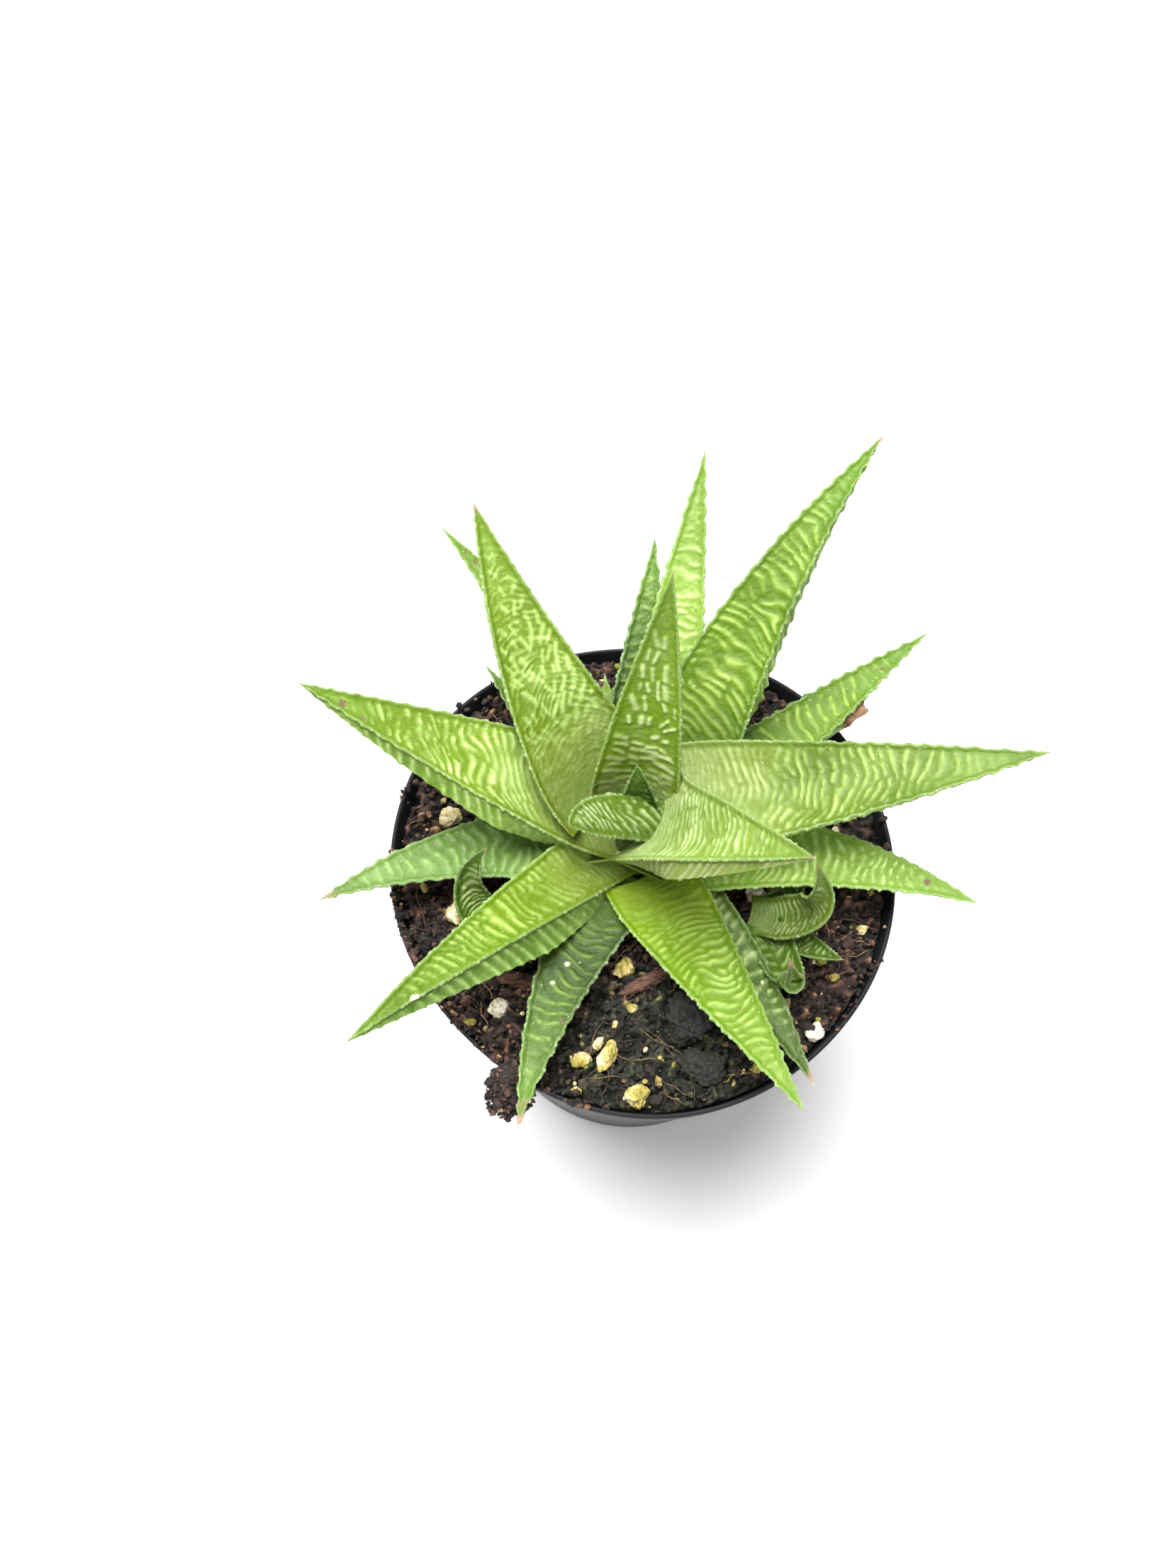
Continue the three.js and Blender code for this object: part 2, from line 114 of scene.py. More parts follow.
def add_object(name: str, data: bpy.types.ID) -> bpy.types.Object:
    """Adds an object that shows a mesh, a lamp or a camera."""
    made = bpy.data.objects.new(name, data)
    bpy.context.scene.collection.objects.link(made)
    return made


def face_outwards() -> None:
    """Turns the faces of the mesh in edit mode outwards, and leaves edit mode."""
    bpy.ops.mesh.select_all(action="SELECT")
    bpy.ops.mesh.normals_make_consistent(inside=False)
    bpy.ops.object.mode_set(mode="OBJECT")


def adopt(name: str) -> bpy.types.Object:
    """Names the object that an operator has just added.

    Args:
        name: The name for the object and its mesh.

    Returns:
        The object.
    """
    piece = bpy.context.object
    piece.name = piece.data.name = name
    return piece


def coordinates(mesh: bpy.types.Mesh) -> np.ndarray:
    """Reads a mesh's corners, one row each, in millimetres."""
    flat = np.empty(len(mesh.vertices) * 3)
    mesh.vertices.foreach_get("co", flat)
    return flat.reshape(-1, 3) / MM


def place(mesh: bpy.types.Mesh, points: np.ndarray) -> None:
    """Moves a mesh's corners to points given in millimetres."""
    mesh.vertices.foreach_set("co", (points * MM).ravel())
    mesh.update()


def paint(mesh: bpy.types.Mesh, name: str, channels: np.ndarray) -> None:
    """Stores four numbers a corner, for a material to read.

    Args:
        mesh: The mesh to paint.
        name: The attribute's name.
        channels: One row of four numbers for each corner.
    """
    layer = mesh.attributes.new(name, "FLOAT_COLOR", "POINT")
    layer.data.foreach_set("color", channels.astype(np.float32).ravel())


def tint(piece: bpy.types.Object, kinds: np.ndarray, damps: np.ndarray) -> None:
    """Paints a piece in tones.

    Args:
        piece: The piece, made of one part or of many that have equally many corners.
        kinds: What each corner or each part is made of, from 0 to 1.
        damps: How damp it is.
    """
    corners = len(piece.data.vertices) // len(kinds)
    kinds, damps = np.repeat(kinds, corners), np.repeat(damps, corners)
    empty = np.zeros_like(kinds)
    paint(piece.data, "grain", np.column_stack([kinds, damps, empty, empty]))


@dataclass(frozen=True)
class Coat:
    """A finish once its material is made, with the record's slot that it belongs to."""

    material: bpy.types.Material
    slot: str

    def cover(self, piece: bpy.types.Object) -> None:
        """Makes the coat a piece's only one."""
        piece.data.materials.clear()
        piece.data.materials.append(self.material)


def fit(piece: bpy.types.Object, coat: Coat, *nodes: str) -> None:
    """Dresses a finished piece, hangs it on the frame and reports it.

    Args:
        piece: The piece, with its place in its mesh.
        coat: Its finish.
        nodes: The frame's nodes that the piece stands for.
    """
    coat.cover(piece)
    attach(piece, "root")
    if nodes:
        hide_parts(*nodes)
    LOG.info("%s: %d faces", piece.name, len(piece.data.polygons))


# ---- Random reliefs -------------------------------------------------------------------------


@dataclass
class Relief:
    """A random pattern that repeats over a flat patch, to be read anywhere in millimetres."""

    values: np.ndarray
    pitch: float

    def at(self, x: np.ndarray, y: np.ndarray) -> np.ndarray:
        """Reads the pattern between its samples.

        Args:
            x: Places along the patch's first side.
            y: Places along its second side.

        Returns:
            The pattern's value at each place.
        """
        rows, columns = self.values.shape
        u, v = x / self.pitch, y / self.pitch
        i, j = np.floor(u).astype(int), np.floor(v).astype(int)
        a, b = u - i, v - j
        i0, i1, j0, j1 = i % rows, (i + 1) % rows, j % columns, (j + 1) % columns
        near = self.values[i0, j0] * (1 - a) + self.values[i1, j0] * a
        far = self.values[i0, j1] * (1 - a) + self.values[i1, j1] * a
        return near * (1 - b) + far * b


@dataclass
class ReliefMaker:
    """Makes reliefs from one seed."""

    seed: int
    pitch: float = 0.25
    size: int = 384

    def __post_init__(self) -> None:
        """Starts the random numbers and lays out the waves."""
        self.rng = np.random.default_rng(self.seed)
        waves = np.fft.fftfreq(self.size, self.pitch)
        self.along, self.across = np.meshgrid(waves, waves, indexing="ij")

    def spectrum(self) -> np.ndarray:
        """Gives the waves of plain noise."""
        return np.fft.fft2(self.rng.standard_normal((self.size, self.size)))

    def lumps(self, length: float, width: float) -> Relief:
        """Makes smooth lumps.

        Args:
            length: The size of a lump along the first side.
            width: Its size along the second side.

        Returns:
            The relief, spread about 0 by 1.
        """
        soft = np.exp(-2 * ((self.along * length) ** 2 + (self.across * width) ** 2))
        values = np.fft.ifft2(self.spectrum() * soft).real
        return Relief(values / values.std(), self.pitch)

    def ridges(self, spacing: float, waver: float, sharp: float = 1.6) -> Relief:
        """Makes wavy ridges that run across the first side, meeting and ending here and there.

        Args:
            spacing: The distance from one ridge to the next.
            waver: How far the ridges turn from straight across, in radians.
            sharp: How narrow the crests are.

        Returns:
            The relief, from 0 in the valleys to 1 on the crests.
        """
        rate = np.hypot(self.along, self.across)
        turn = np.arctan2(self.across, self.along)
        band = np.exp(-(((rate * spacing - 1) / 0.3) ** 2) - (turn / waver) ** 2)
        waves = np.fft.ifft2(self.spectrum() * band)
        strength = np.abs(waves) / np.sqrt((np.abs(waves) ** 2).mean())
        phase = np.angle(waves)
        crest = (0.5 + 0.5 * np.cos(phase + 0.5 * np.sin(phase))) ** sharp
        return Relief(crest * smoothstep(0.05, 0.8, strength), self.pitch)


# ---- Finishes -------------------------------------------------------------------------------


class NodeBench:
    """Lays out the nodes of one material."""

    def __init__(self, name: str, slot: str) -> None:
        """Starts a material with an empty surface, for one of the record's slots."""
        self.slot = slot
        self.material = bpy.data.materials.new(name)
        self.material.use_nodes = True
        self.tree = self.material.node_tree
        self.surface = self.tree.nodes["Principled BSDF"]

    def add(self, kind: str, **sockets: Input) -> bpy.types.Node:
        """Adds a node.

        Args:
            kind: The node's type, without its ShaderNode prefix.
            sockets: Values or outputs for its inputs, by name with _ for a space.

        Returns:
            The node.
        """
        node = self.tree.nodes.new("ShaderNode" + kind)
        for key, value in sockets.items():
            self.feed(node.inputs[key.replace("_", " ")], value)
        return node

    def feed(self, socket: bpy.types.NodeSocket, value: Input) -> None:
        """Links an output to a socket, or sets a value on it."""
        if isinstance(value, bpy.types.NodeSocket):
            self.tree.links.new(value, socket)
        else:
            socket.default_value = value

    def noise(
        self, scale: float, detail: float = 3, stretch: Triple = (1, 1, 1)
    ) -> bpy.types.NodeSocket:
        """Adds noise on the object's own coordinates.

        Args:
            scale: Lumps a metre.
            detail: How many finer layers it has.
            stretch: The scale's share along each axis.

        Returns:
            The noise, from 0 to 1.
        """
        spot = self.add("TexCoord").outputs["Object"]
        mapping = self.add("Mapping", Vector=spot, Scale=stretch)
        return self.add("TexNoise", Vector=mapping.outputs[0], Scale=scale, Detail=detail).outputs[0]

    def cells(self, scale: float) -> bpy.types.NodeSocket:
        """Adds the distance to the nearest of many scattered points."""
        spot = self.add("TexCoord").outputs["Object"]
        return self.add("TexVoronoi", Vector=spot, Scale=scale).outputs[0]

    def reckon(self, operation: str, *values: Input) -> bpy.types.NodeSocket:
        """Adds a sum on numbers or outputs."""
        node = self.add("Math")
        node.operation = operation
        for socket, value in zip(node.inputs, values):
            self.feed(socket, value)
        return node.outputs[0]

    def vary(
        self, value: Input, pattern: bpy.types.NodeSocket, amount: float
    ) -> bpy.types.NodeSocket:
        """Moves a value up and down with a pattern that runs from 0 to 1.

        Args:
            value: The value, a number or an output.
            pattern: The pattern.
            amount: How far the value moves from one end of the pattern to the other.

        Returns:
            The varied value.
        """
        return self.reckon("MULTIPLY_ADD", self.reckon("SUBTRACT", pattern, 0.5), amount, value)

    def ramp(self, share: bpy.types.NodeSocket, *stops: tuple[float, str]) -> bpy.types.NodeSocket:
        """Adds a row of colours.

        Args:
            share: What picks the colour.
            stops: Each colour's place and its six digits.

        Returns:
            The picked colour.
        """
        node = self.add("ValToRGB", Fac=share)
        elements = node.color_ramp.elements
        while len(elements) < len(stops):
            elements.new(0.5)
        for element, (position, hue) in zip(elements, stops):
            element.position = position
            element.color = linear(hue)
        return node.outputs[0]

    def mix(
        self, share: Input, under: Input, over: Input, blend: str = "MIX"
    ) -> bpy.types.NodeSocket:
        """Adds a mix of two colours."""
        node = self.tree.nodes.new("ShaderNodeMix")
        node.data_type = "RGBA"
        node.blend_type = blend
        for index, value in ((0, share), (6, under), (7, over)):
            self.feed(node.inputs[index], value)
        return node.outputs[2]

    def painted(self, name: str) -> tuple[bpy.types.NodeSocket, ...]:
        """Reads an attribute.

        Args:
            name: The attribute's name.

        Returns:
            Its four channels.
        """
        node = self.add("Attribute")
        node.attribute_name = name
        parts = self.add("SeparateColor", Color=node.outputs["Color"])
        return (*parts.outputs, node.outputs["Alpha"])

    def done(
        self, colour: Input, roughness: Input,
        height: bpy.types.NodeSocket | None = None, depth: float = 0.0,
    ) -> Coat:
        """Sets the surface.

        Args:
            colour: The base colour.
            roughness: The roughness.
            height: Fine relief for the light to catch, or None.
            depth: How deep that relief is, in millimetres.

        Returns:
            The finished coat.
        """
        self.feed(self.surface.inputs["Base Color"], colour)
        self.feed(self.surface.inputs["Roughness"], roughness)
        if height is not None:
            bump = self.add("Bump", Height=height, Strength=1.0, Distance=depth * MM)
            self.feed(self.surface.inputs["Normal"], bump.outputs[0])
        return Coat(self.material, self.slot)


@dataclass(frozen=True)
class LeafSkin:
    """Finish of a live leaf: hues of its valleys and its crests at the root, middle and far end."""

    name: str
    slot: str
    valleys: tuple[str, str, str]
    crests: tuple[str, str, str]
    under_valley: str
    under_crest: str
    margin: str = "a8c088"
    roughness: float = 0.46

    def make(self) -> Coat:
        """Builds the material."""
        bench = NodeBench(self.name, self.slot)
        ridge, pale, under, fleck = bench.painted("relief")
        along, dry, bruise, scar = bench.painted("zone")
        places = (0.1, 0.45, 0.92)
        valley = bench.ramp(along, *zip(places, self.valleys))
        crest = bench.ramp(along, *zip(places, self.crests))
        valley = bench.mix(under, valley, linear(self.under_valley))
        crest = bench.mix(under, crest, linear(self.under_crest))
        lit = bench.vary(ridge, bench.noise(2600, 2), 0.35)
        lit = bench.vary(lit, bench.noise(330, 4), 0.5)
        lit = bench.vary(lit, bench.noise(110, 2), 0.45)
        colour = bench.mix(bench.reckon("MINIMUM", bench.reckon("MAXIMUM", lit, 0.0), 1.0), valley, crest)
        shade = bench.ramp(bench.noise(60, 2), (0.35, "d4dcc4"), (0.65, "ffffff"))
        colour = bench.mix(0.7, colour, shade, "MULTIPLY")
        colour = bench.mix(pale, colour, linear(self.margin))
        colour = bench.mix(fleck, colour, linear("dfeacb"))
        tip = bench.ramp(dry, (0.0, "7d8a52"), (0.3, "8c7256"), (0.7, "a08468"), (1.0, "d9cdb8"))
        colour = bench.mix(bench.reckon("MINIMUM", bench.reckon("MULTIPLY", dry, 3.0), 1.0), colour, tip)
        colour = bench.mix(bruise, colour, linear("6b5a45"))
        colour = bench.mix(scar, colour, linear("e6dcb4"))
        rough = bench.reckon("MULTIPLY_ADD", bench.noise(900, 2), 0.2, self.roughness - 0.1)
        bench.surface.inputs["Specular IOR Level"].default_value = 0.22
        bench.surface.inputs["Subsurface Weight"].default_value = 0.06
        bench.surface.inputs["Subsurface Radius"].default_value = (0.6, 1.0, 0.3)
        bench.surface.inputs["Subsurface Scale"].default_value = 0.0015
        return bench.done(colour, rough, bench.noise(2200, 3), 0.08)


class Skin(Enum):
    """The leaf finishes."""

    # In most skins the root stops are darker and duller than the middle ones. That is partly the leaves'
    # own hue and partly painted shade where the leaves crowd at the rosette's centre.
    SUNLIT = LeafSkin(
        "leaf_sunlit", "leaf_bright", ("62721c", "6b8620", "6b8726"), ("88985e", "d0ea92", "a8c868"),
        "5b781f", "97ae68",
    )
    LIVELY = LeafSkin(
        "leaf_lively", "leaf_bright", ("728e10", "688a12", "6b8926"), ("9cb84a", "b4d068", "a8c86a"),
        "5b781f", "97ae68",
    )
    MELLOW = LeafSkin(
        "leaf_mellow", "leaf_bright", ("64771e", "63820f", "617c20"), ("90a65c", "b6d06a", "9cba60"),
        "55722a", "90a760",
    )
    GRASSY = LeafSkin(
        "leaf_grassy", "leaf_bright", ("3c5203", "567609", "5f7f22"), ("5a7a12", "a6be5c", "90b25a"),
        "5d7c27", "9fbe60",
    )
    MILKY = LeafSkin(
        "leaf_milky", "leaf_bright", ("7d9145", "829b42", "718c31"), ("bccb98", "cfe4a8", "a2bf6a"),
        "707f38", "949e76",
    )
    PALE = LeafSkin(
        "leaf_pale", "leaf_bright", ("889a4a", "5c7421", "668230"), ("c8da9c", "a8be6a", "91a762"),
        "758f39", "b1ca73",
    )
    DAPPLED = LeafSkin(
        "leaf_dappled", "leaf_bright", ("627618", "708f1c", "6a8828"), ("a2ae7d", "ccdc9a", "8ca659"),
        "5c762c", "abc470",
    )
    FRESH = LeafSkin(
        "leaf_fresh", "leaf_green", ("769d2a", "84a33e", "6f8e34"), ("b0d06e", "c6e08c", "b0ca80"),
        "668633", "afce73",
    )
    # HAZY's root stops are lighter than its middle ones: painted light on the root of the low west leaf,
    # which the west leaf above shades.
    HAZY = LeafSkin(
        "leaf_hazy", "leaf_green", ("7c9a48", "688740", "5f7b34"), ("a8c47a", "9abb70", "94b168"),
        "4e6a2c", "88a05c",
    )
    SHADED = LeafSkin(
        "leaf_shaded", "leaf_dark", ("2f430c", "2c430a", "60802d"), ("6a8438", "627a34", "a8c474"),
        "435a26", "778e50",
    )
    TENDER = LeafSkin(
        "leaf_tender", "leaf_young", ("446012", "486214", "445a18"), ("99ae64", "b7ca87", "9eb270"),
        "4a6319", "a6be69",
    )
    BUDDING = LeafSkin(
        "leaf_budding", "leaf_young", ("526718", "586e1c", "5c721e"), ("a0b47a", "b0c28e", "b4c692"),
        "67852f", "b4cc80",
    )


# ---- Leaves ---------------------------------------------------------------------------------


class Mark(Enum):
    """What a mark on a leaf is: the channel of the painted zone that it goes in."""

    BRUISE = 2
    SCAR = 3


@dataclass
class Sheet:
    """A sheet wrapped round a leaf, one row of points for each place along it.

    A row runs over the upper face, the right margin, the underside and the left margin. t is 0
    at the root and 1 at the tip, and steps is the same in millimetres, stretched where ridges
    are packed closer. v is -1 at the left margin and 1 at the right one, and ends is where the
    upper face ends. depth is how far below the upper face a point is, and puff how far a margin
    swells there. half, thick and rim are half the width, the thickness and the margins'
    thickness. upper and below are 1 on the upper face and on the underside.

    From these, s and c are how far along and across a point is, gone how far it is from the
    nearer margin, and fall how far below that margin. open_end is 1 away from both ends, and
    at_keel is 1 along the keel.
    """

    span: float
    ends: Pair
    t: np.ndarray
    steps: np.ndarray
    v: np.ndarray
    depth: np.ndarray
    puff: np.ndarray
    half: np.ndarray
    thick: np.ndarray
    rim: np.ndarray
    upper: np.ndarray
    below: np.ndarray

    def __post_init__(self) -> None:
        """Works out where each point is along, across, from the margins and from the keel."""
        left, right = self.ends
        self.s, self.c = self.span * self.t, self.v * self.half
        self.right_near = np.abs(self.v - right) < np.abs(self.v - left)
        self.gone = np.where(self.right_near, right - self.v, self.v - left) * self.half
        self.fall = np.maximum(0, self.depth - self.rim)
        self.open_end = smoothstep(0.03, 0.12, self.t) * (1 - smoothstep(0.93, 1, self.t))
        self.at_keel = np.exp(-(((self.fall - (self.thick - self.rim)) / 1.2) ** 2)) * self.below

    def beside_margins(self, distance: float, width: float) -> np.ndarray:
        """Marks a soft line on the upper face that follows both margins.

        Args:
            distance: How far from the margins it runs.
            width: How wide it is.

        Returns:
            1 on the line, falling to 0 beside it.
        """
        return np.exp(-(((self.gone - distance) / width) ** 2)) * self.upper * self.open_end


@dataclass
class Leaf:
    """One leaf. Tip and root are bearing in degrees, reach from the plant's axis and height.

    Lengths are in millimetres.

    The leaf's line: arch and bend push its middle up and to the right, looking outwards, push
    moves it freely, and clasp carries the base back past the root.

    Its section: cup raises the margins at the root and at the tip, as a share of the half
    width. keel is where the underside is deepest, from -1 at the left margin to 1 at the right
    one. fold is where the upper face ends at each side, so a keel beyond it shows as a band.
    roll leans the leaf about its length, in degrees. taper is how long the leaf stays wide, and
    waist how much narrower it is at its root.

    Its ridges: spacing and height are theirs, crowd packs them closer at the root, slant and
    chevron turn them, broken is how far they break into beads at the root and at the tip, and
    calm is where they begin and are in full. dashes gives the turn of the short marks that take
    their place, from straight along the leaf, at the root and further out, and dashed how
    strong those are.

    Its edges and marks: teeth and scallop are how far small and wide lobes reach, dry is the
    length of the dry tip, and each mark has its kind, its place along and across, and a radius.
    """

    name: str
    tip: Triple
    root: Triple
    width: float
    thick: float
    cup: Pair
    skin: Skin = Skin.SUNLIT
    keel: float = 0.0
    bend: float = 0.0
    arch: float = 0.0
    push: Triple = (0.0, 0.0, 0.0)
    roll: float = 0.0
    taper: float = 1.45
    fold: Pair = (-1.0, 1.0)
    clasp: float = 0.0
    waist: float = 0.15
    spacing: float = 2.0
    height: float = 0.4
    crowd: float = 0.12
    slant: float = 0.0
    chevron: float = 0.1
    broken: Pair = (0.2, 0.75)
    dashes: Pair | None = None
    dashed: float = 1.0
    calm: Pair = (0.08, 0.4)
    teeth: float = 0.16
    scallop: float = 0.3
    dry: float = 0.8
    marks: tuple[tuple[Mark, float, float, float], ...] = ()

    def spine(self, centre: Pair, t: np.ndarray) -> tuple[np.ndarray, np.ndarray]:
        """Follows the leaf's middle line.

        Args:
            centre: The plant's axis.
            t: Places along the leaf, from 0 at the root to 1 at the tip.

        Returns:
            The points of the line, and its headings there.
        """
        root, tip = polar(centre, self.root), polar(centre, self.tip)
        right = unit(np.cross(tip - root, (0, 0, 1)))
        middle = (root + tip) / 2 + self.bend * right + np.array([0, 0, self.arch]) + self.push
        t = t[:, None]
        line = (1 - t) ** 2 * root + 2 * t * (1 - t) * middle + t**2 * tip
        return line, unit((1 - t) * (middle - root) + t * (tip - middle))

    def wrap(self, span: float) -> Sheet:
        """Wraps a sheet round the leaf's section.

        Args:
            span: The distance from root to tip.

        Returns:
            The sheet. Its sides meet at the left margin.
        """
        step = MESH_STEP if span > SMALL_SPAN else SMALL_MESH_STEP
        face, edge = max(20, round(self.width / step / 1.15)), 4
        under = max(12, round(0.38 * face))
        t = np.linspace(-self.clasp / span, 1, round(span / step))[:, None]
        grown = np.maximum(t, 0)
        spread = np.linspace(-1, 1, face + 1)[None, :]
        left, right = self.fold
        top = (left + right) / 2 + (right - left) / 2 * (spread + 0.1 * np.sin(np.pi * spread))
        bulge = np.linspace(0, np.pi, edge + 2)[None, 1:-1]
        down = np.linspace(0, 1, under + 1)[None, :]
        waist = 1 - self.waist * np.maximum(0, 1 - grown / 0.2) ** 2
        half = self.width / 2 * waist * (1 - grown**self.taper)
        thick = self.thick * (1 - grown**1.9)
        rim = np.minimum(0.6, 0.3 * thick)
        keel = self.keel * np.minimum(1, 0.3 + 2 * grown)

        def side(start: float) -> tuple[np.ndarray, np.ndarray]:
            """Follows the underside from a margin to the keel."""
            reach = np.minimum(1, np.abs(keel - start))
            swell = 1 - (1 - down) ** (1 + 0.5 * reach)
            return start + (keel - start) * down, rim + (thick - rim) * swell

        right_v, right_depth = side(right)
        left_v, left_depth = side(left)
        flat = np.ones_like(t)
        around = flat * np.ones_like(bulge)
        v = np.hstack([flat * top, right * around, right_v, left_v[:, -2::-1], left * around])
        depth = np.hstack([flat * 0 * top, rim / 2 * (1 - np.cos(bulge)), right_depth,
                           left_depth[:, -2::-1], rim / 2 * (1 + np.cos(bulge))])
        puff = np.hstack([0 * top, np.sin(bulge), 0 * down, 0 * down[:, 1:], -np.sin(bulge)])
        low = face + 1 + edge
        high = low + 2 * under
        for _ in range(3):
            for part in (v, depth):
                near = part[:, low + 1 : high - 2] + part[:, low + 2 : high - 1] + part[:, low + 3 : high]
                part[:, low + 2 : high - 1] = near / 3
        columns = np.arange(v.shape[1])[None, :]
        upper = (columns <= face) * flat
        below = ((columns >= low) & (columns <= high)) * flat
        steps = span * (t + self.crowd * (1 - np.exp(-t / 0.2)))
        return Sheet(span, self.fold, t, steps, v, depth, puff, half, thick, rim, upper, below)

    def crests(self, sheet: Sheet, make: ReliefMaker) -> tuple[np.ndarray, Relief]:
        """Draws ridges on a warped sheet, so that they waver, meet and break up.

        A whole number added to a place only takes the relief from a fresh part of its patch.

        Args:
            sheet: The leaf's sheet.
            make: Makes the reliefs.

        Returns:
            The ridges, from 0 in the valleys to 1 on the crests, and a relief of small bumps.
        """
        t, s, c, steps = sheet.t, sheet.s, sheet.c, sheet.steps
        warp_s, warp_c = make.lumps(7, 6), make.lumps(7, 6)
        over = c + 48 + 1.2 * warp_c.at(s, c + 30)
        turned = steps + self.slant * c + self.chevron * np.sqrt(c * c + 4)
        crest = make.ridges(self.spacing, 0.42, 0.9).at(turned + 0.8 * warp_s.at(s, c + 30), over)
        specks = make.lumps(0.9, 1.6)
        bumps = make.lumps(0.5, 0.7)
        patches = make.lumps(5, 4)
        beads = smoothstep(-0.8, 0.7, specks.at(s + 0.6 * warp_c.at(s, c), over))
        torn = self.broken[0] + (self.broken[1] - self.broken[0]) * smoothstep(0.2, 0.9, t)
        crest = crest * (1 - torn * (1 - beads)) * (0.92 + 0.2 * patches.at(s, c + 20))
        if self.dashes:
            marks = self.marked(s, c + 0.5 * warp_s.at(c + 40, s), sheet.half, make.rng)
            crest = (1 - 0.78 * self.dashed) * crest + self.dashed * marks
        fall = sheet.fall
        ribs = make.ridges(self.spacing * 1.3, 0.25, 1.0).at(steps + 0.9 * fall + 11, fall + 30)
        return np.where(sheet.below > 0, ribs * (1 - 0.25 * (1 - beads)), crest), bumps

    def strength(self, sheet: Sheet) -> tuple[np.ndarray, np.ndarray]:
        """Gives how strong the ridges are along the leaf, and how they fade at its margins."""
        rise = smoothstep(self.calm[0] - 0.06, self.calm[1], sheet.t)
        fade = 1 - smoothstep(0.72, 0.97, sheet.t)
        inside, down = smoothstep(0.25, 1.5, sheet.gone), smoothstep(0.0, 0.6, sheet.fall)
        return (0.25 + 0.75 * rise) * fade, np.where(sheet.upper > 0, inside, down)

    def edges(self, sheet: Sheet, make: ReliefMaker) -> tuple[np.ndarray, np.ndarray, np.ndarray]:
        """Cuts small teeth and wide lobes into the margins, and lobes into the keel.

        Args:
            sheet: The leaf's sheet.
            make: Makes the reliefs.

        Returns:
            The teeth from 0 to 1, how far points move sideways, and how far the keel rises.
        """
        nick = make.lumps(0.3, 2.0)
        wave = make.ridges(self.spacing * 1.5, 0.2, 0.8)
        level = 0 * sheet.v
        edge = np.where(sheet.right_near, sheet.steps, sheet.steps + 40)
        tooth = smoothstep(0.0, 1.6, nick.at(edge, level + 5))
        lobes = wave.at(edge, level + 20) - 0.45
        near = np.exp(-((sheet.gone / 0.8) ** 2) - (sheet.depth / (0.4 + sheet.rim)) ** 4)
        lobed = self.scallop * smoothstep(0.15, 0.5, sheet.t) * lobes
        outward = np.where(sheet.right_near, 1.0, -1.0)
        out = outward * near * sheet.open_end * (self.teeth * tooth + lobed)
        keel_lobes = wave.at(sheet.steps + 77, level + 60) - 0.45
        return tooth, out, sheet.at_keel * sheet.open_end * self.scallop * 1.3 * keel_lobes

    def shell(self, sheet: Sheet, centre: Pair, out: np.ndarray) -> np.ndarray:
        """Places the sheet's points in space, without ridges.

        Args:
            sheet: The leaf's sheet.
            centre: The plant's axis.
            out: How far each point moves sideways.

        Returns:
            The points.
        """
        line, along = self.spine(centre, sheet.t[:, 0])
        right = unit(np.cross(along, (0, 0, 1)))
        up = np.cross(right, along)
        lean = math.radians(self.roll)
        right, up = (v * math.cos(lean) + np.cross(along, v) * math.sin(lean) for v in (right, up))
        cup = self.cup[0] + (self.cup[1] - self.cup[0]) * np.sqrt(np.maximum(sheet.t, 0))
        lift = cup * sheet.half * np.minimum(1, sheet.v * sheet.v) - sheet.depth
        wide = sheet.c + sheet.puff * sheet.rim / 2 + out
        return line[:, None] + wide[..., None] * right[:, None] + lift[..., None] * up[:, None]

    def build(self, centre: Pair, seed: int) -> bpy.types.Object:
        """Models the leaf and paints where its ridges, margins and dry tip are.

        Args:
            centre: The plant's axis.
            seed: Starts the random numbers.

        Returns:
            The leaf.
        """
        make = ReliefMaker(seed)
        span = float(np.linalg.norm(polar(centre, self.tip) - polar(centre, self.root)))
        sheet = self.wrap(span)
        t, s, c, flat = sheet.t, sheet.s, sheet.c, 0 * sheet.v
        crest, bumps = self.crests(sheet, make)
        vigour, quiet = self.strength(sheet)
        tooth, out, wall = self.edges(sheet, make)
        strong = vigour * quiet
        ridge = crest * strong
        lip, groove = sheet.beside_margins(0.3, 0.3), sheet.beside_margins(0.95, 0.38)

        # Relief, straight out from the shell.
        points = self.shell(sheet, centre, out)
        across = np.roll(points, -1, axis=1) - np.roll(points, 1, axis=1)
        normal = unit(np.cross(across, np.gradient(points, axis=0)))
        at_ends = smoothstep(0, 0.03, t) * (1 - smoothstep(0.97, 1, t))
        relief = self.height * (ridge - 0.35 * strong)
        relief = relief * (1 + 0.15 * sheet.below) * (1 - 0.5 * sheet.at_keel)
        relief = relief * smoothstep(t[0, 0], t[0, 0] + 0.16, t) + 0.08 * lip - 0.1 * groove
        relief = relief + 0.05 * at_ends * bumps.at(s + 20, c + 20) + wall
        relief[-1] = relief[0] = 0
        points = points + normal * relief[..., None]

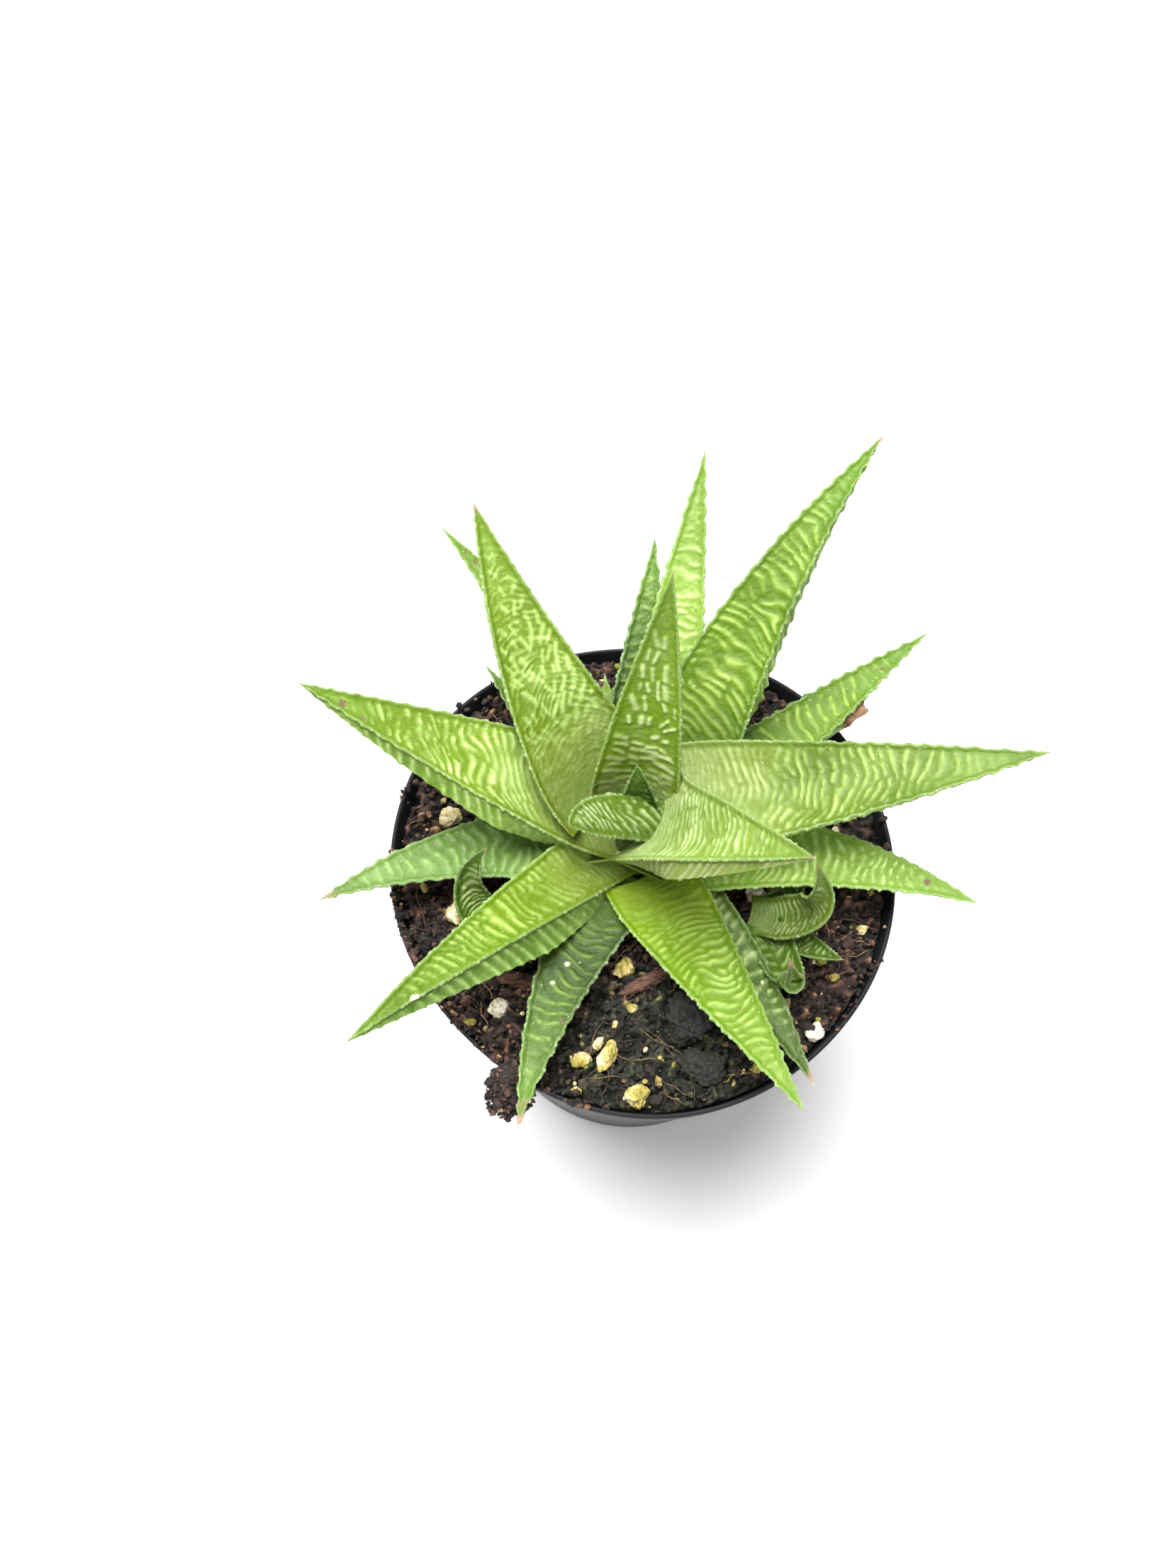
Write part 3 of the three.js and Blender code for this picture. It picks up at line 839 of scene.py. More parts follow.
        # Paint, with painted shade in the groove beside the margins.
        lit = ridge + 0.42 * (1 - vigour) * quiet * (1 - 0.5 * smoothstep(0.6, 0.95, t)) - 0.15 * groove
        dots = make.rng.random(flat.shape) < 0.012 * np.exp(-((sheet.gone / 1.3) ** 2)) + 0.0007
        pale = np.exp(-((sheet.gone / 0.24) ** 2)) * (sheet.depth < sheet.rim + 0.05)
        pale = pale * (0.2 + 0.45 * tooth) * smoothstep(0.02, 0.08, t)
        grain = 1 + 0.25 * bumps.at(s, c)
        dry = np.clip(1 - span * (1 - t) / (self.dry * grain), 0, 1)
        zone = np.stack([np.maximum(t, 0) + flat, dry, flat, flat], axis=-1)
        for mark, where, sideways, radius in self.marks:
            away = np.hypot(span * (t - where), c - sideways * sheet.half) / radius
            spot = (1 - smoothstep(0.6, 1.2, away + 0.25 * bumps.at(s, c))) * sheet.upper
            zone[..., mark.value] = np.maximum(zone[..., mark.value], spot)
        skin = np.stack([lit, pale, sheet.below, dots * sheet.open_end * 0.4], axis=-1)
        return self.close(points, skin, zone)

    def marked(
        self, s: np.ndarray, c: np.ndarray, half: np.ndarray, rng: np.random.Generator
    ) -> np.ndarray:
        """Scatters short raised marks over the leaf.

        Args:
            s: Each point's place along the leaf.
            c: Each point's place across it.
            half: Half the leaf's width along it.
            rng: The random numbers.

        Returns:
            The marks' height, from 0 to 1.
        """
        raised = np.zeros_like(s)
        span = float(s[-1, 0])
        for row, where in enumerate(np.arange(0.05 * span, 0.84 * span, DASH_ROWS)):
            share = where / span
            wide = float(np.interp(where, s[:, 0], half[:, 0])) - 1.3
            turn = self.dashes[0] + (self.dashes[1] - self.dashes[0]) * smoothstep(0.3, 0.45, share)
            flat_on = abs(math.sin(math.radians(turn)))
            if wide < 0.8 or (flat_on < 0.7 and row % 2 == 0):
                continue
            count = max(1, round(2 * wide / (3.2 if flat_on > 0.7 else 1.9)))
            for k in range(count):
                middle = wide * (2 * (k + 0.5 + rng.uniform(-0.22, 0.22)) / count - 1)
                angle = math.radians(turn * (1 if middle > 0 else -1) + rng.normal(0, 9))
                long, thick = rng.uniform(0.4, 1.8), rng.uniform(0.42, 0.66)
                if rng.random() < 0.1 + 0.5 * smoothstep(0.6, 0.85, share):
                    continue
                ds, dc = s - where - rng.uniform(-0.45, 0.45), c - middle
                ahead = ds * math.cos(angle) + dc * math.sin(angle)
                aside = dc * math.cos(angle) - ds * math.sin(angle)
                away = np.hypot(np.maximum(np.abs(ahead) - long, 0), aside) / thick
                peak = rng.uniform(0.7, 1.05) * (0.55 + 0.45 * smoothstep(0.15, 0.4, share))
                raised = np.maximum(raised, peak * (1 - smoothstep(0.2, 1.35, away)))
        return raised

    def close(self, points: np.ndarray, skin: np.ndarray, zone: np.ndarray) -> bpy.types.Object:
        """Wraps a mesh onto a grid of points and closes it.

        Args:
            points: Rows from root to tip of points round the section.
            skin: What is painted as relief there.
            zone: What is painted as zone there.

        Returns:
            The closed leaf.
        """
        rows, columns = points.shape[:2]
        deselect()
        bpy.ops.mesh.primitive_grid_add(x_subdivisions=columns, y_subdivisions=rows - 1, size=2)
        leaf = adopt(self.name)
        flat = coordinates(leaf.data) * MM
        i = np.rint((flat[:, 1] + 1) / 2 * (rows - 1)).astype(int)
        j = np.rint((flat[:, 0] + 1) / 2 * columns).astype(int) % columns
        place(leaf.data, points[i, j])
        paint(leaf.data, "relief", skin[i, j])
        paint(leaf.data, "zone", zone[i, j])
        bpy.ops.object.mode_set(mode="EDIT")
        bpy.ops.mesh.select_all(action="SELECT")
        bpy.ops.mesh.remove_doubles(threshold=1e-6)
        bpy.ops.mesh.select_all(action="SELECT")
        bpy.ops.mesh.fill_holes(sides=0)
        face_outwards()
        bpy.ops.object.shade_smooth()
        return leaf


@dataclass
class Rosette:
    """Leaves about one axis, each named between the prefix and the suffix."""

    centre: Pair
    leaves: list[Leaf]
    seed: int
    prefix: str = ""
    suffix: str = ""

    def build(self, coats: dict[Skin, Coat]) -> None:
        """Models, dresses and fits each leaf."""
        for number, leaf in enumerate(self.leaves):
            node = f"{self.prefix}{leaf.name}{self.suffix}"
            piece = leaf.build(self.centre, self.seed + number)
            piece.name = piece.data.name = f"{node}_grown"
            fit(piece, coats[leaf.skin], node)


def main_leaves() -> list[Leaf]:
    """Lists the leaves of the main rosette, from the innermost outwards."""
    return [
        Leaf("leaf_heart", (95, 6.5, 116), (95, 1.2, 104), 8.6, 2.6, (0.4, 0.2), Skin.SHADED,
             spacing=1.3, height=0.25, chevron=0.9, scallop=0.05, dry=0.3),
        Leaf("leaf_young", (-154.5, 14.9, 116), (-4, 5.9, 105), 8.6, 4.4, (-0.2, -0.15), Skin.BUDDING,
             roll=-14, push=(-4.6, 2.6, 2.4), taper=4, clasp=2, spacing=1.75, height=0.42, slant=-0.75,
             broken=(0.0, 0.3), calm=(0.02, 0.1), scallop=0.1, dry=0.3),
        Leaf("leaf_inner_north", (80, 29, 146), (100, 4.5, 99), 18, 3.6, (0.7, 0.2), Skin.DAPPLED,
             spacing=1.7, height=0.42, chevron=0.05, broken=(0.3, 1.0), dashes=(86, 4), calm=(0.06, 0.25),
             scallop=0.14),
        Leaf("leaf_inner_south_east", (-47, 36.5, 148), (-71, 3.8, 104.2), 25, 4.4, (0.45, 0.3), Skin.MILKY,
             keel=0.9, fold=(-1.0, 0.5), clasp=3, waist=-0.15, calm=(0.0, 0.2), roll=4, taper=1.2,
             spacing=1.9, slant=-0.5, chevron=0.3, broken=(0.2, 0.8), scallop=0.15, dry=2.2),
        Leaf("leaf_north_west", (120.5, 63.5, 134), (125, 9.5, 97), 28, 5, (0.6, 0.1), Skin.SUNLIT,
             keel=0.95, fold=(-1.0, 0.86), bend=-3.5, taper=1.2, spacing=1.5, chevron=0.9,
             broken=(0.6, 0.9), dashes=(34, 26), dashed=0.6, calm=(0.1, 0.35), scallop=0.16, dry=2.6),
        Leaf("leaf_east", (3.6, 75, 124), (60, 7, 94), 27, 4.6, (0.6, 0.1), Skin.PALE, keel=0.8,
             fold=(-1.0, 0.96), clasp=12, bend=0.5, arch=2, taper=1.4, spacing=2.3, crowd=0.3, slant=0.15,
             broken=(0.6, 0.6), scallop=0.4),
        Leaf("leaf_west", (164, 66.5, 126), (145, 6, 94), 29, 5, (0.5, 0.1), Skin.SUNLIT, keel=-0.98,
             fold=(-0.66, 1.0), clasp=18, roll=6, taper=1.3, spacing=2.2, slant=-0.6, broken=(0.3, 0.8),
             calm=(0.2, 0.5), dry=0.6,
             marks=((Mark.BRUISE, 0.87, 0.0, 0.8), (Mark.BRUISE, 0.8, -0.3, 0.5))),
        Leaf("leaf_north_east", (54.6, 83.5, 138), (35, 7, 93), 24, 5.5, (0.15, 0.12), Skin.GRASSY,
             keel=0.95, fold=(-1.0, 0.84), bend=-9, taper=1.3, spacing=2.4, height=0.46, slant=0.35,
             broken=(0.1, 0.6), scallop=0.4, dry=2.5),
        Leaf("leaf_south_west", (-138.5, 69, 112), (-125, 5, 91), 22, 4.4, (0.4, 0), Skin.MELLOW,
             keel=-0.86, fold=(-0.22, 1.0), clasp=4, bend=1, arch=3, roll=-8, taper=1.35, spacing=2.1,
             slant=-0.7, broken=(0.1, 0.7), scallop=0.14, dry=0.8,
             marks=((Mark.SCAR, 0.78, -0.2, 0.9),)),
        Leaf("leaf_south", (-63.5, 62.5, 104), (-76, 6, 90), 20, 4.4, (0.3, 0), Skin.LIVELY, arch=3,
             taper=1.25, spacing=2.0, slant=0.1, broken=(0.1, 0.7), teeth=0.25, dry=0.6),
        Leaf("leaf_north", (79, 75, 128), (70, 5, 91), 18, 4, (0.3, 0), Skin.FRESH, spacing=2.3,
             chevron=0.0, broken=(0.1, 0.8), scallop=0.4, dry=1.0),
        Leaf("leaf_back_north_west", (123.5, 74, 118), (130, 5, 90), 16, 4, (0.3, 0), Skin.FRESH, bend=10,
             marks=((Mark.BRUISE, 0.86, 0.2, 0.5), (Mark.BRUISE, 0.9, 0.0, 0.35))),
        Leaf("leaf_low_east", (-13, 67.5, 99), (-10, 5, 90), 19, 4, (0.2, 0), Skin.FRESH, keel=0.5, bend=-8,
             arch=4, taper=1.6, teeth=0.25, marks=((Mark.BRUISE, 0.84, -0.1, 0.6),)),
        Leaf("leaf_low_north_east", (35.5, 77, 104), (30, 5, 90), 18, 4, (0.2, 0), Skin.GRASSY, bend=-1,
             spacing=2.5, height=0.46, slant=0.35, scallop=0.5, marks=((Mark.BRUISE, 0.82, 0.2, 0.45),)),
        Leaf("leaf_low_west", (-168, 64.5, 96), (170, 5, 90), 18, 4, (0.2, 0), Skin.HAZY, keel=-0.3, bend=8,
             arch=4, spacing=2.6, chevron=-0.2, scallop=0.4, dry=3.5),
        Leaf("leaf_low_south_west", (-112, 61, 92), (-115, 5, 89.5), 16, 3.8, (0.1, 0), Skin.SHADED, bend=6,
             arch=4, spacing=2.6, height=0.46, scallop=0.4, dry=4.5,
             marks=((Mark.SCAR, 0.42, 0.1, 0.5), (Mark.SCAR, 0.5, 0.3, 0.4),
                    (Mark.BRUISE, 0.62, -0.7, 0.5))),
        Leaf("leaf_low_south_east", (-57, 58.5, 94), (-45, 5, 89.5), 16, 3.8, (0.1, 0), Skin.TENDER,
             bend=-4, arch=2, spacing=2.6, height=0.5, dry=3, marks=((Mark.SCAR, 0.6, -0.4, 0.4),)),
        Leaf("leaf_low_north", (86, 64, 112), (105, 5, 89.5), 17, 3.6, (0.1, 0), Skin.SHADED, spacing=2.6,
             height=0.5, scallop=0.4),
        Leaf("leaf_low_north_west", (126.5, 55, 92), (130, 5, 89), 12, 3, (0.1, 0), Skin.SHADED),
        Leaf("leaf_low_back", (98.5, 42.5, 92), (110, 5, 89), 11, 2.8, (0.1, 0), Skin.SUNLIT),
    ]


def small_leaf(
    name: str, tip: Triple, root: Triple, width: float, thick: float, cup: Pair, **traits
) -> Leaf:
    """Gives a leaf of an offset, tender and with fine low ridges unless its traits differ."""
    usual = {"skin": Skin.TENDER, "spacing": 1.4, "height": 0.2, "scallop": 0.05, "calm": (0, 0.15)}
    return Leaf(name, tip, root, width, thick, cup, **(usual | traits))


def right_leaves() -> list[Leaf]:
    """Lists the leaves of the offset at the right."""
    return [
        small_leaf("hooked", (26, 8, 110), (-20, 1, 89.5), 9.5, 2.6, (0.4, 0.2), skin=Skin.BUDDING,
                   push=(9, -5.5, -3), clasp=3, taper=1.9, chevron=0.6),
        small_leaf("curled", (-81, 13, 103), (-95, 1.5, 89), 8, 2.4, (0.7, 0.3), push=(4, -15, -3),
                   taper=2.2, chevron=0.6, dry=1.6),
        small_leaf("low", (-38, 17.5, 95.5), (-38, 2, 88.5), 7.5, 2.4, (0.4, 0.1), push=(1, -1.5, -1),
                   chevron=0.4),
        small_leaf("back", (38, 11.5, 93), (50, 2, 88.5), 6.5, 2, (0.3, 0)),
    ]


def left_leaves() -> list[Leaf]:
    """Lists the leaves of the offset at the left."""
    return [
        small_leaf("upright", (90, 10.5, 104), (140, 1.5, 89), 8, 2.4, (0.7, 0.3), push=(-6, 1, -1),
                   taper=1.9, chevron=0.3),
        small_leaf("front", (-47, 12.8, 94), (-40, 1.5, 88.5), 7, 2.2, (0.5, 0.1)),
        small_leaf("low", (-150, 10, 93), (-150, 1.5, 88.5), 6.5, 2, (0.4, 0.1)),
    ]


# ---- Pot ------------------------------------------------------------------------------------


@dataclass(frozen=True)
class PotPlastic:
    """Finish of thin moulded black plastic, a little dusty and scuffed."""

    name: str = "pot_plastic"
    slot: str = "pot"

    def make(self) -> Coat:
        """Builds the material."""
        bench = NodeBench(self.name, self.slot)
        dust = bench.noise(90, 5)
        scuff = bench.noise(60, 4, (1, 1, 9))
        colour = bench.ramp(dust, (0.35, "0e0f10"), (0.62, "17191b"), (0.8, "2c2d28"))
        colour = bench.mix(bench.reckon("MULTIPLY", scuff, 0.35), colour, linear("2c2f33"))
        rough = bench.reckon("MULTIPLY_ADD", scuff, 0.25, 0.36)
        bench.surface.inputs["Specular IOR Level"].default_value = 0.18
        return bench.done(colour, rough, bench.noise(700, 4), 0.05)


@dataclass
class NurseryPot:
    """The pot, drawn up from its base ring by ring.

    Each bulge of its thin rim has a bearing, how far it goes out, and how wide it spreads.
    """

    height: float = 88.0
    rim_radius: float = 52.5
    base_radius: float = 36.5
    wall: float = 1.0
    floor: float = 1.2
    band: float = 9.0
    draft: float = 1.4
    step: float = 0.7
    hub_radius: float = 17.0
    foot_width: float = 4.0
    channel_rise: float = 2.6
    holes: int = 8
    hole_radius: float = 2.8
    sides: int = 144
    bulges: tuple[Triple, ...] = ((50, 2.4, 32), (130, 2.4, 30), (225, -2.4, 40), (-45, -0.8, 30))

    def profile(self) -> list[Pair]:
        """Lists radius and height from the hub's edge, up the outside and down the inside."""
        foot = self.base_radius - self.foot_width
        band, rise, lip = self.height - self.band, self.channel_rise, self.rim_radius
        return [
            (self.hub_radius, 0), (self.hub_radius + 1.2, rise), (foot - 1.2, rise), (foot, 0.2),
            (foot + 0.3, 0), (self.base_radius - 0.4, 0), (self.base_radius, 0.4),
            (lip - self.draft - self.step, band - 0.4), (lip - self.draft - 0.3, band),
            (lip - self.draft, band + 0.4), (lip, self.height - 0.5),
            (lip - 0.2, self.height - 0.12), (lip - 0.5, self.height), (lip - 0.8, self.height - 0.12),
            (lip - self.wall, self.height - 0.5),
            (lip - self.draft - self.wall, band + 1.4), (lip - self.draft - self.step - self.wall, band),
            (self.base_radius - self.wall, self.floor), (foot + 0.6, self.floor),
            (foot - 0.6, self.floor + rise), (self.hub_radius + 0.6, self.floor + rise),
            (self.hub_radius - 0.6, self.floor),
        ]

    def build(self, plastic: Coat) -> None:
        """Models, dresses and fits the pot."""
        deselect()
        bpy.ops.mesh.primitive_circle_add(
            vertices=self.sides, radius=self.hub_radius * MM, fill_type="NGON"
        )
        pot = adopt("nursery_pot_moulded")
        bpy.ops.object.mode_set(mode="EDIT")
        bpy.ops.mesh.select_mode(type="EDGE")
        bpy.ops.mesh.select_all(action="SELECT")
        radius, level = self.profile()[0]
        for next_radius, next_level in self.profile()[1:]:
            bpy.ops.mesh.extrude_edges_move()
            share = next_radius / radius
            bpy.ops.transform.resize(value=(share, share, 1))
            bpy.ops.transform.translate(value=(0, 0, (next_level - level) * MM))
            radius, level = next_radius, next_level
        bpy.ops.mesh.edge_face_add()
        face_outwards()
        self.drill(pot)
        place(pot.data, self.sway(coordinates(pot.data)))
        bpy.ops.object.shade_smooth_by_angle(angle=math.radians(50))
        fit(pot, plastic, "nursery_pot")

    def drill(self, pot: bpy.types.Object) -> None:
        """Cuts the drain holes through the raised channel of the base."""
        reach = (self.hub_radius + self.base_radius - self.foot_width) / 2
        drills = []
        for k in range(self.holes):
            angle = 2 * math.pi * (k + 0.5) / self.holes
            deselect()
            spot = (reach * math.cos(angle), reach * math.sin(angle), self.channel_rise)
            bpy.ops.mesh.primitive_cylinder_add(
                vertices=24, radius=self.hole_radius * MM, depth=10 * MM,
                location=[side * MM for side in spot],
            )
            drills.append(adopt(f"drill_{k}"))
        deselect()
        for drill in drills:
            drill.select_set(True)
        bpy.context.view_layer.objects.active = drills[0]
        bpy.ops.object.join()
        cutter = bpy.context.object
        cut = pot.modifiers.new("drains", "BOOLEAN")
        cut.object = cutter
        pick(pot)
        bpy.ops.object.modifier_apply(modifier=cut.name)
        bpy.data.objects.remove(cutter)

    def sway(self, points: np.ndarray) -> np.ndarray:
        """Bends the thin rim out of round, more the higher a point is.

        Args:
            points: Points on or in the pot.

        Returns:
            Where they go.
        """
        bearing = np.degrees(np.arctan2(points[:, 1], points[:, 0]))
        radius = np.hypot(points[:, 0], points[:, 1])
        push = np.zeros_like(radius)
        level = np.clip(points[:, 2] / self.height, 0, 1)
        for where, amount, spread in self.bulges:
            away = (bearing - where + 180) % 360 - 180
            push += amount * np.exp(-((away / spread) ** 2)) * level ** (2 if amount > 0 else 0.7)
        push *= np.clip(radius / self.rim_radius, 0, 1) ** 3
        moved = points.copy()
        moved[:, :2] *= (1 + push / np.maximum(radius, 1))[:, None]
        return moved


# ---- Potting mix and what lies on it --------------------------------------------------------


@dataclass(frozen=True)
class PeatFinish:
    """Finish of moist peat with bark fines, reddish at the sides and darkened at the front."""

    name: str = "peat"
    slot: str = "potting_mix"

    def make(self) -> Coat:
        """Builds the material."""
        bench = NodeBench(self.name, self.slot)
        kind, damp, _, _ = bench.painted("grain")
        fine = bench.noise(1500, 4)
        share = bench.vary(kind, fine, 0.5)
        dry = bench.ramp(
            share, (0.05, "0c0908"), (0.38, "261b16"), (0.62, "48332a"), (0.84, "7a5840"), (1.0, "b09468")
        )
        moss = bench.ramp(share, (0.05, "0b0c08"), (0.42, "1e1f15"), (0.72, "3c3e26"), (1.0, "94903c"))
        colour = bench.mix(damp, dry, moss)
        rough = bench.reckon("MULTIPLY_ADD", fine, 0.35, 0.6)
        return bench.done(colour, rough, bench.noise(2600, 5), 0.25)


@dataclass(frozen=True)
class PerliteFinish:
    """Finish of porous perlite, stained yellow and green in places."""

    name: str = "perlite_grain"
    slot: str = "perlite"

    def make(self) -> Coat:
        """Builds the material."""
        bench = NodeBench(self.name, self.slot)
        stain, _, _, _ = bench.painted("grain")
        patches = bench.noise(420, 4)
        share = bench.vary(stain, patches, 1.5)
        colour = bench.ramp(
            share, (0.1, "e4dcc8"), (0.35, "d8c896"), (0.55, "b4a052"), (0.8, "8c8a34"), (1.0, "4c5420")
        )
        pits = bench.ramp(bench.cells(1400), (0.0, "5c4a30"), (0.2, "c8bea8"), (0.45, "ffffff"))
        colour = bench.mix(0.75, colour, pits, "MULTIPLY")
        return bench.done(colour, 0.75, bench.noise(1800, 4), 0.25)


@dataclass(frozen=True)
class WoodyFinish:
    """Finish of something woody: two hues along its fibres."""

    name: str
    slot: str
    dark: str
    light: str
    stretch: Triple = (1, 1, 1)
    scale: float = 900
    depth: float = 0.2

    def make(self) -> Coat:
        """Builds the material."""
        bench = NodeBench(self.name, self.slot)
        fibre = bench.noise(self.scale, 5, self.stretch)
        colour = bench.ramp(fibre, (0.3, self.dark), (0.7, self.light))
        return bench.done(colour, 0.8, bench.noise(self.scale * 1.5, 5, self.stretch), self.depth)


@dataclass
class Lump:
    """A loose thing: where it lies, its size along, across and up, and its turn in degrees.

    stain is how yellow and green it is, from 0 to 1, where its finish shows that.
    """

    name: str
    at: Pair
    size: Triple
    turn: float
    stain: float = 0.2


@dataclass
class PottingMix:
    """The potting mix, with crumbs and fibres on it.

    It fills the pot down to foot_level, and its side is upright at the top, for its skirt.
    mound is how much it rises about the rosette, and relief how deep its waves are. Each
    stretch of crumbs on the rim has its first and last bearing and a count, and known_specks
    are the places of the perlite specks that can be told apart.
    """

    pot: NurseryPot
    level: float = 85.4
    mound: float = 1.2
    mound_reach: float = 20.0
    relief: float = 0.7
    gap: float = 0.3
    skirt: float = 3.0
    foot_level: float = 4.6
    cells: int = 290
    seed: int = 41
    crumbs: int = 8600
    clump_crumbs: int = 1000
    loose_specks: int = 50
    fibres: int = 260
    fibre_joints: int = 7
    fibre_sides: int = 4
    rim_crumbs: tuple[tuple[float, float, int], ...] = (
        (176, 214, 170), (214, 240, 80), (240, 262, 45), (-46, -22, 26), (-22, 60, 14), (120, 165, 40),
    )
    known_specks: tuple[Pair, ...] = (
        (-13.2, -46.3), (2.3, -48.2), (47.4, -5.5), (21.4, -42.1), (-34.2, -24.7), (-2.2, -30.4),
        (-4.2, 49.0), (-38.4, 31.5), (-5.5, -33.5), (-8.9, -37.2), (-19.4, -37.8), (-34, -33),
        (-45.5, 3.5), (-44.8, -4.5), (41.5, 8.4), (44.6, -14), (38, -24), (35.6, -20.2),
    )

    def __post_init__(self) -> None:
        """Makes the reliefs of the surface."""
        make = ReliefMaker(self.seed, 0.3)
        self.rng = make.rng
        self.coarse = make.lumps(3.4, 3.4)
        self.medium = make.lumps(1.3, 1.3)
        self.fine = make.lumps(0.5, 0.5)

    def top(self, x: np.ndarray, y: np.ndarray) -> np.ndarray:
        """Gives the height of the mix at a point, crumbs aside."""
        reach = np.hypot(x - MAIN_AXIS[0], y - MAIN_AXIS[1])
        waves = np.sin(0.23 * x + 1.1) * np.cos(0.19 * y) + 0.6 * np.sin(0.41 * y - 0.33 * x)
        swell = self.mound * np.exp(-((reach / self.mound_reach) ** 2)) + self.relief * waves
        return self.level + swell + 0.42 * self.coarse.at(x + 60, y + 60)

    def damp(self, x: np.ndarray, y: np.ndarray) -> np.ndarray:
        """Gives how dark and mossy the mix is at a point, from 0 to 1."""
        away = np.hypot((x - 4) / 22, (y + 38) / 15)
        return np.clip(smoothstep(1.35, 0.7, away + 0.15 * self.coarse.at(x, y)), 0, 1)

    def build(self, peat: Coat) -> None:
        """Models, dresses and fits the mix, its crumbs and its fibres."""
        radius = self.pot.rim_radius - self.pot.wall - self.gap - self.pot.draft / 2
        self.lay_bed(peat, radius)
        self.strew_crumbs(peat, radius)
        self.strew_fibres(peat, radius)

    def lay_bed(self, peat: Coat, radius: float) -> None:
        """Models, dresses and fits the bed of the mix, a disc at its top and solid below."""
        deselect()
        bpy.ops.mesh.primitive_grid_add(x_subdivisions=self.cells, y_subdivisions=self.cells, size=2)
        bed = adopt("potting_mix_bed")
        square = coordinates(bed.data)[:, :2] * MM
        disc = square * np.sqrt(1 - square[:, ::-1] ** 2 / 2) * radius
        points = self.pot.sway(np.column_stack([disc, np.full(len(disc), self.level)]))
        x, y = points[:, 0], points[:, 1]
        rough = 0.62 * self.medium.at(x + 60, y + 60) + 0.25 * self.fine.at(x + 60, y + 60)
        points[:, 2] = self.top(x, y) + np.clip(rough - 0.2, -1.8, 1.4)
        place(bed.data, points)
        bpy.ops.object.mode_set(mode="EDIT")
        bpy.ops.mesh.select_all(action="SELECT")
        bpy.ops.mesh.region_to_loop()
        for drop in (self.skirt, self.level - self.skirt - self.foot_level):
            bpy.ops.mesh.extrude_edges_move(TRANSFORM_OT_translate={"value": (0, 0, -drop * MM)})
        foot = (self.pot.base_radius - self.pot.wall - 1) / radius
        bpy.ops.transform.resize(value=(foot, foot, 1), center_override=(0, 0, 0))
        bpy.ops.mesh.edge_face_add()
        face_outwards()
        bpy.ops.object.shade_smooth()
        points = coordinates(bed.data)
        x, y = points[:, 0], points[:, 1]
        # The bed's tone rises with the medium waves that also lift it, so it is darker in its hollows and
        # lighter on its bumps. The coarse waves vary it at random.
        kind = 0.3 + 0.2 * self.medium.at(x + 60, y + 60) + 0.12 * self.coarse.at(x, y)
        tint(bed, np.clip(kind, 0, 1), self.damp(x, y))
        fit(bed, peat, "potting_mix")

    def scatter(self, count: int, radius: float) -> np.ndarray:
        """Picks places evenly over the mix.

        Args:
            count: How many.
            radius: How far out they may lie.

        Returns:
            A row of x and y for each.
        """
        reach = radius * np.sqrt(self.rng.random(count))
        bearing = 2 * np.pi * self.rng.random(count)
        x, y = reach * np.cos(bearing), reach * np.sin(bearing)
        return self.pot.sway(np.column_stack([x, y, np.full(count, self.level)]))[:, :2]

    def strew_crumbs(self, peat: Coat, radius: float) -> None:
        """Strews crumbs of peat and bark over the mix, and some on the rim."""
        spots = self.scatter(self.crumbs, radius - 0.6)
        sizes = np.minimum(0.35 + 0.36 * self.rng.gamma(1.3, 1.0, self.crumbs), 3.2)
        heights = self.top(spots[:, 0], spots[:, 1]) + 0.15 * sizes
        rim_spots, rim_sizes, rim_heights = self.on_rim()
        spots = np.vstack([spots, rim_spots])
        sizes = np.concatenate([sizes, rim_sizes])
        heights = np.concatenate([heights, rim_heights])
        kinds = np.clip(self.rng.normal(0.4, 0.2, len(sizes)), 0, 0.95)
        kinds[self.rng.random(len(sizes)) < 0.02] = 1.0
        damp = self.damp(spots[:, 0], spots[:, 1]) * self.rng.uniform(0.35, 1.0, len(sizes))
        places = np.column_stack([spots, heights])
        heap = self.balls("potting_mix_crumbs", 1, places, sizes, (0.5, 1.35), 0.2)
        tint(heap, kinds, damp)
        fit(heap, peat)

    def on_rim(self) -> tuple[np.ndarray, np.ndarray, np.ndarray]:
        """Picks places, sizes and heights for crumbs that lie on the rim."""
        crest = self.pot.rim_radius - 0.5
        spots, sizes = [], []
        for low, high, count in self.rim_crumbs:
            for bearing in np.radians(self.rng.uniform(low, high, count)):
                reach = crest + min(0.3, self.rng.normal(-0.7, 0.8))
                spots.append((reach * math.cos(bearing), reach * math.sin(bearing), self.pot.height))
                sizes.append(min(0.5 + self.rng.gamma(1.5, 0.4), 1.7))
        spots, sizes = np.array(spots), np.array(sizes)
        away = np.hypot(spots[:, 0], spots[:, 1]) - crest
        heights = self.pot.height + 0.2 * sizes - 0.9 * np.maximum(0, np.abs(away) - 0.4)
        return self.pot.sway(spots)[:, :2], sizes, heights

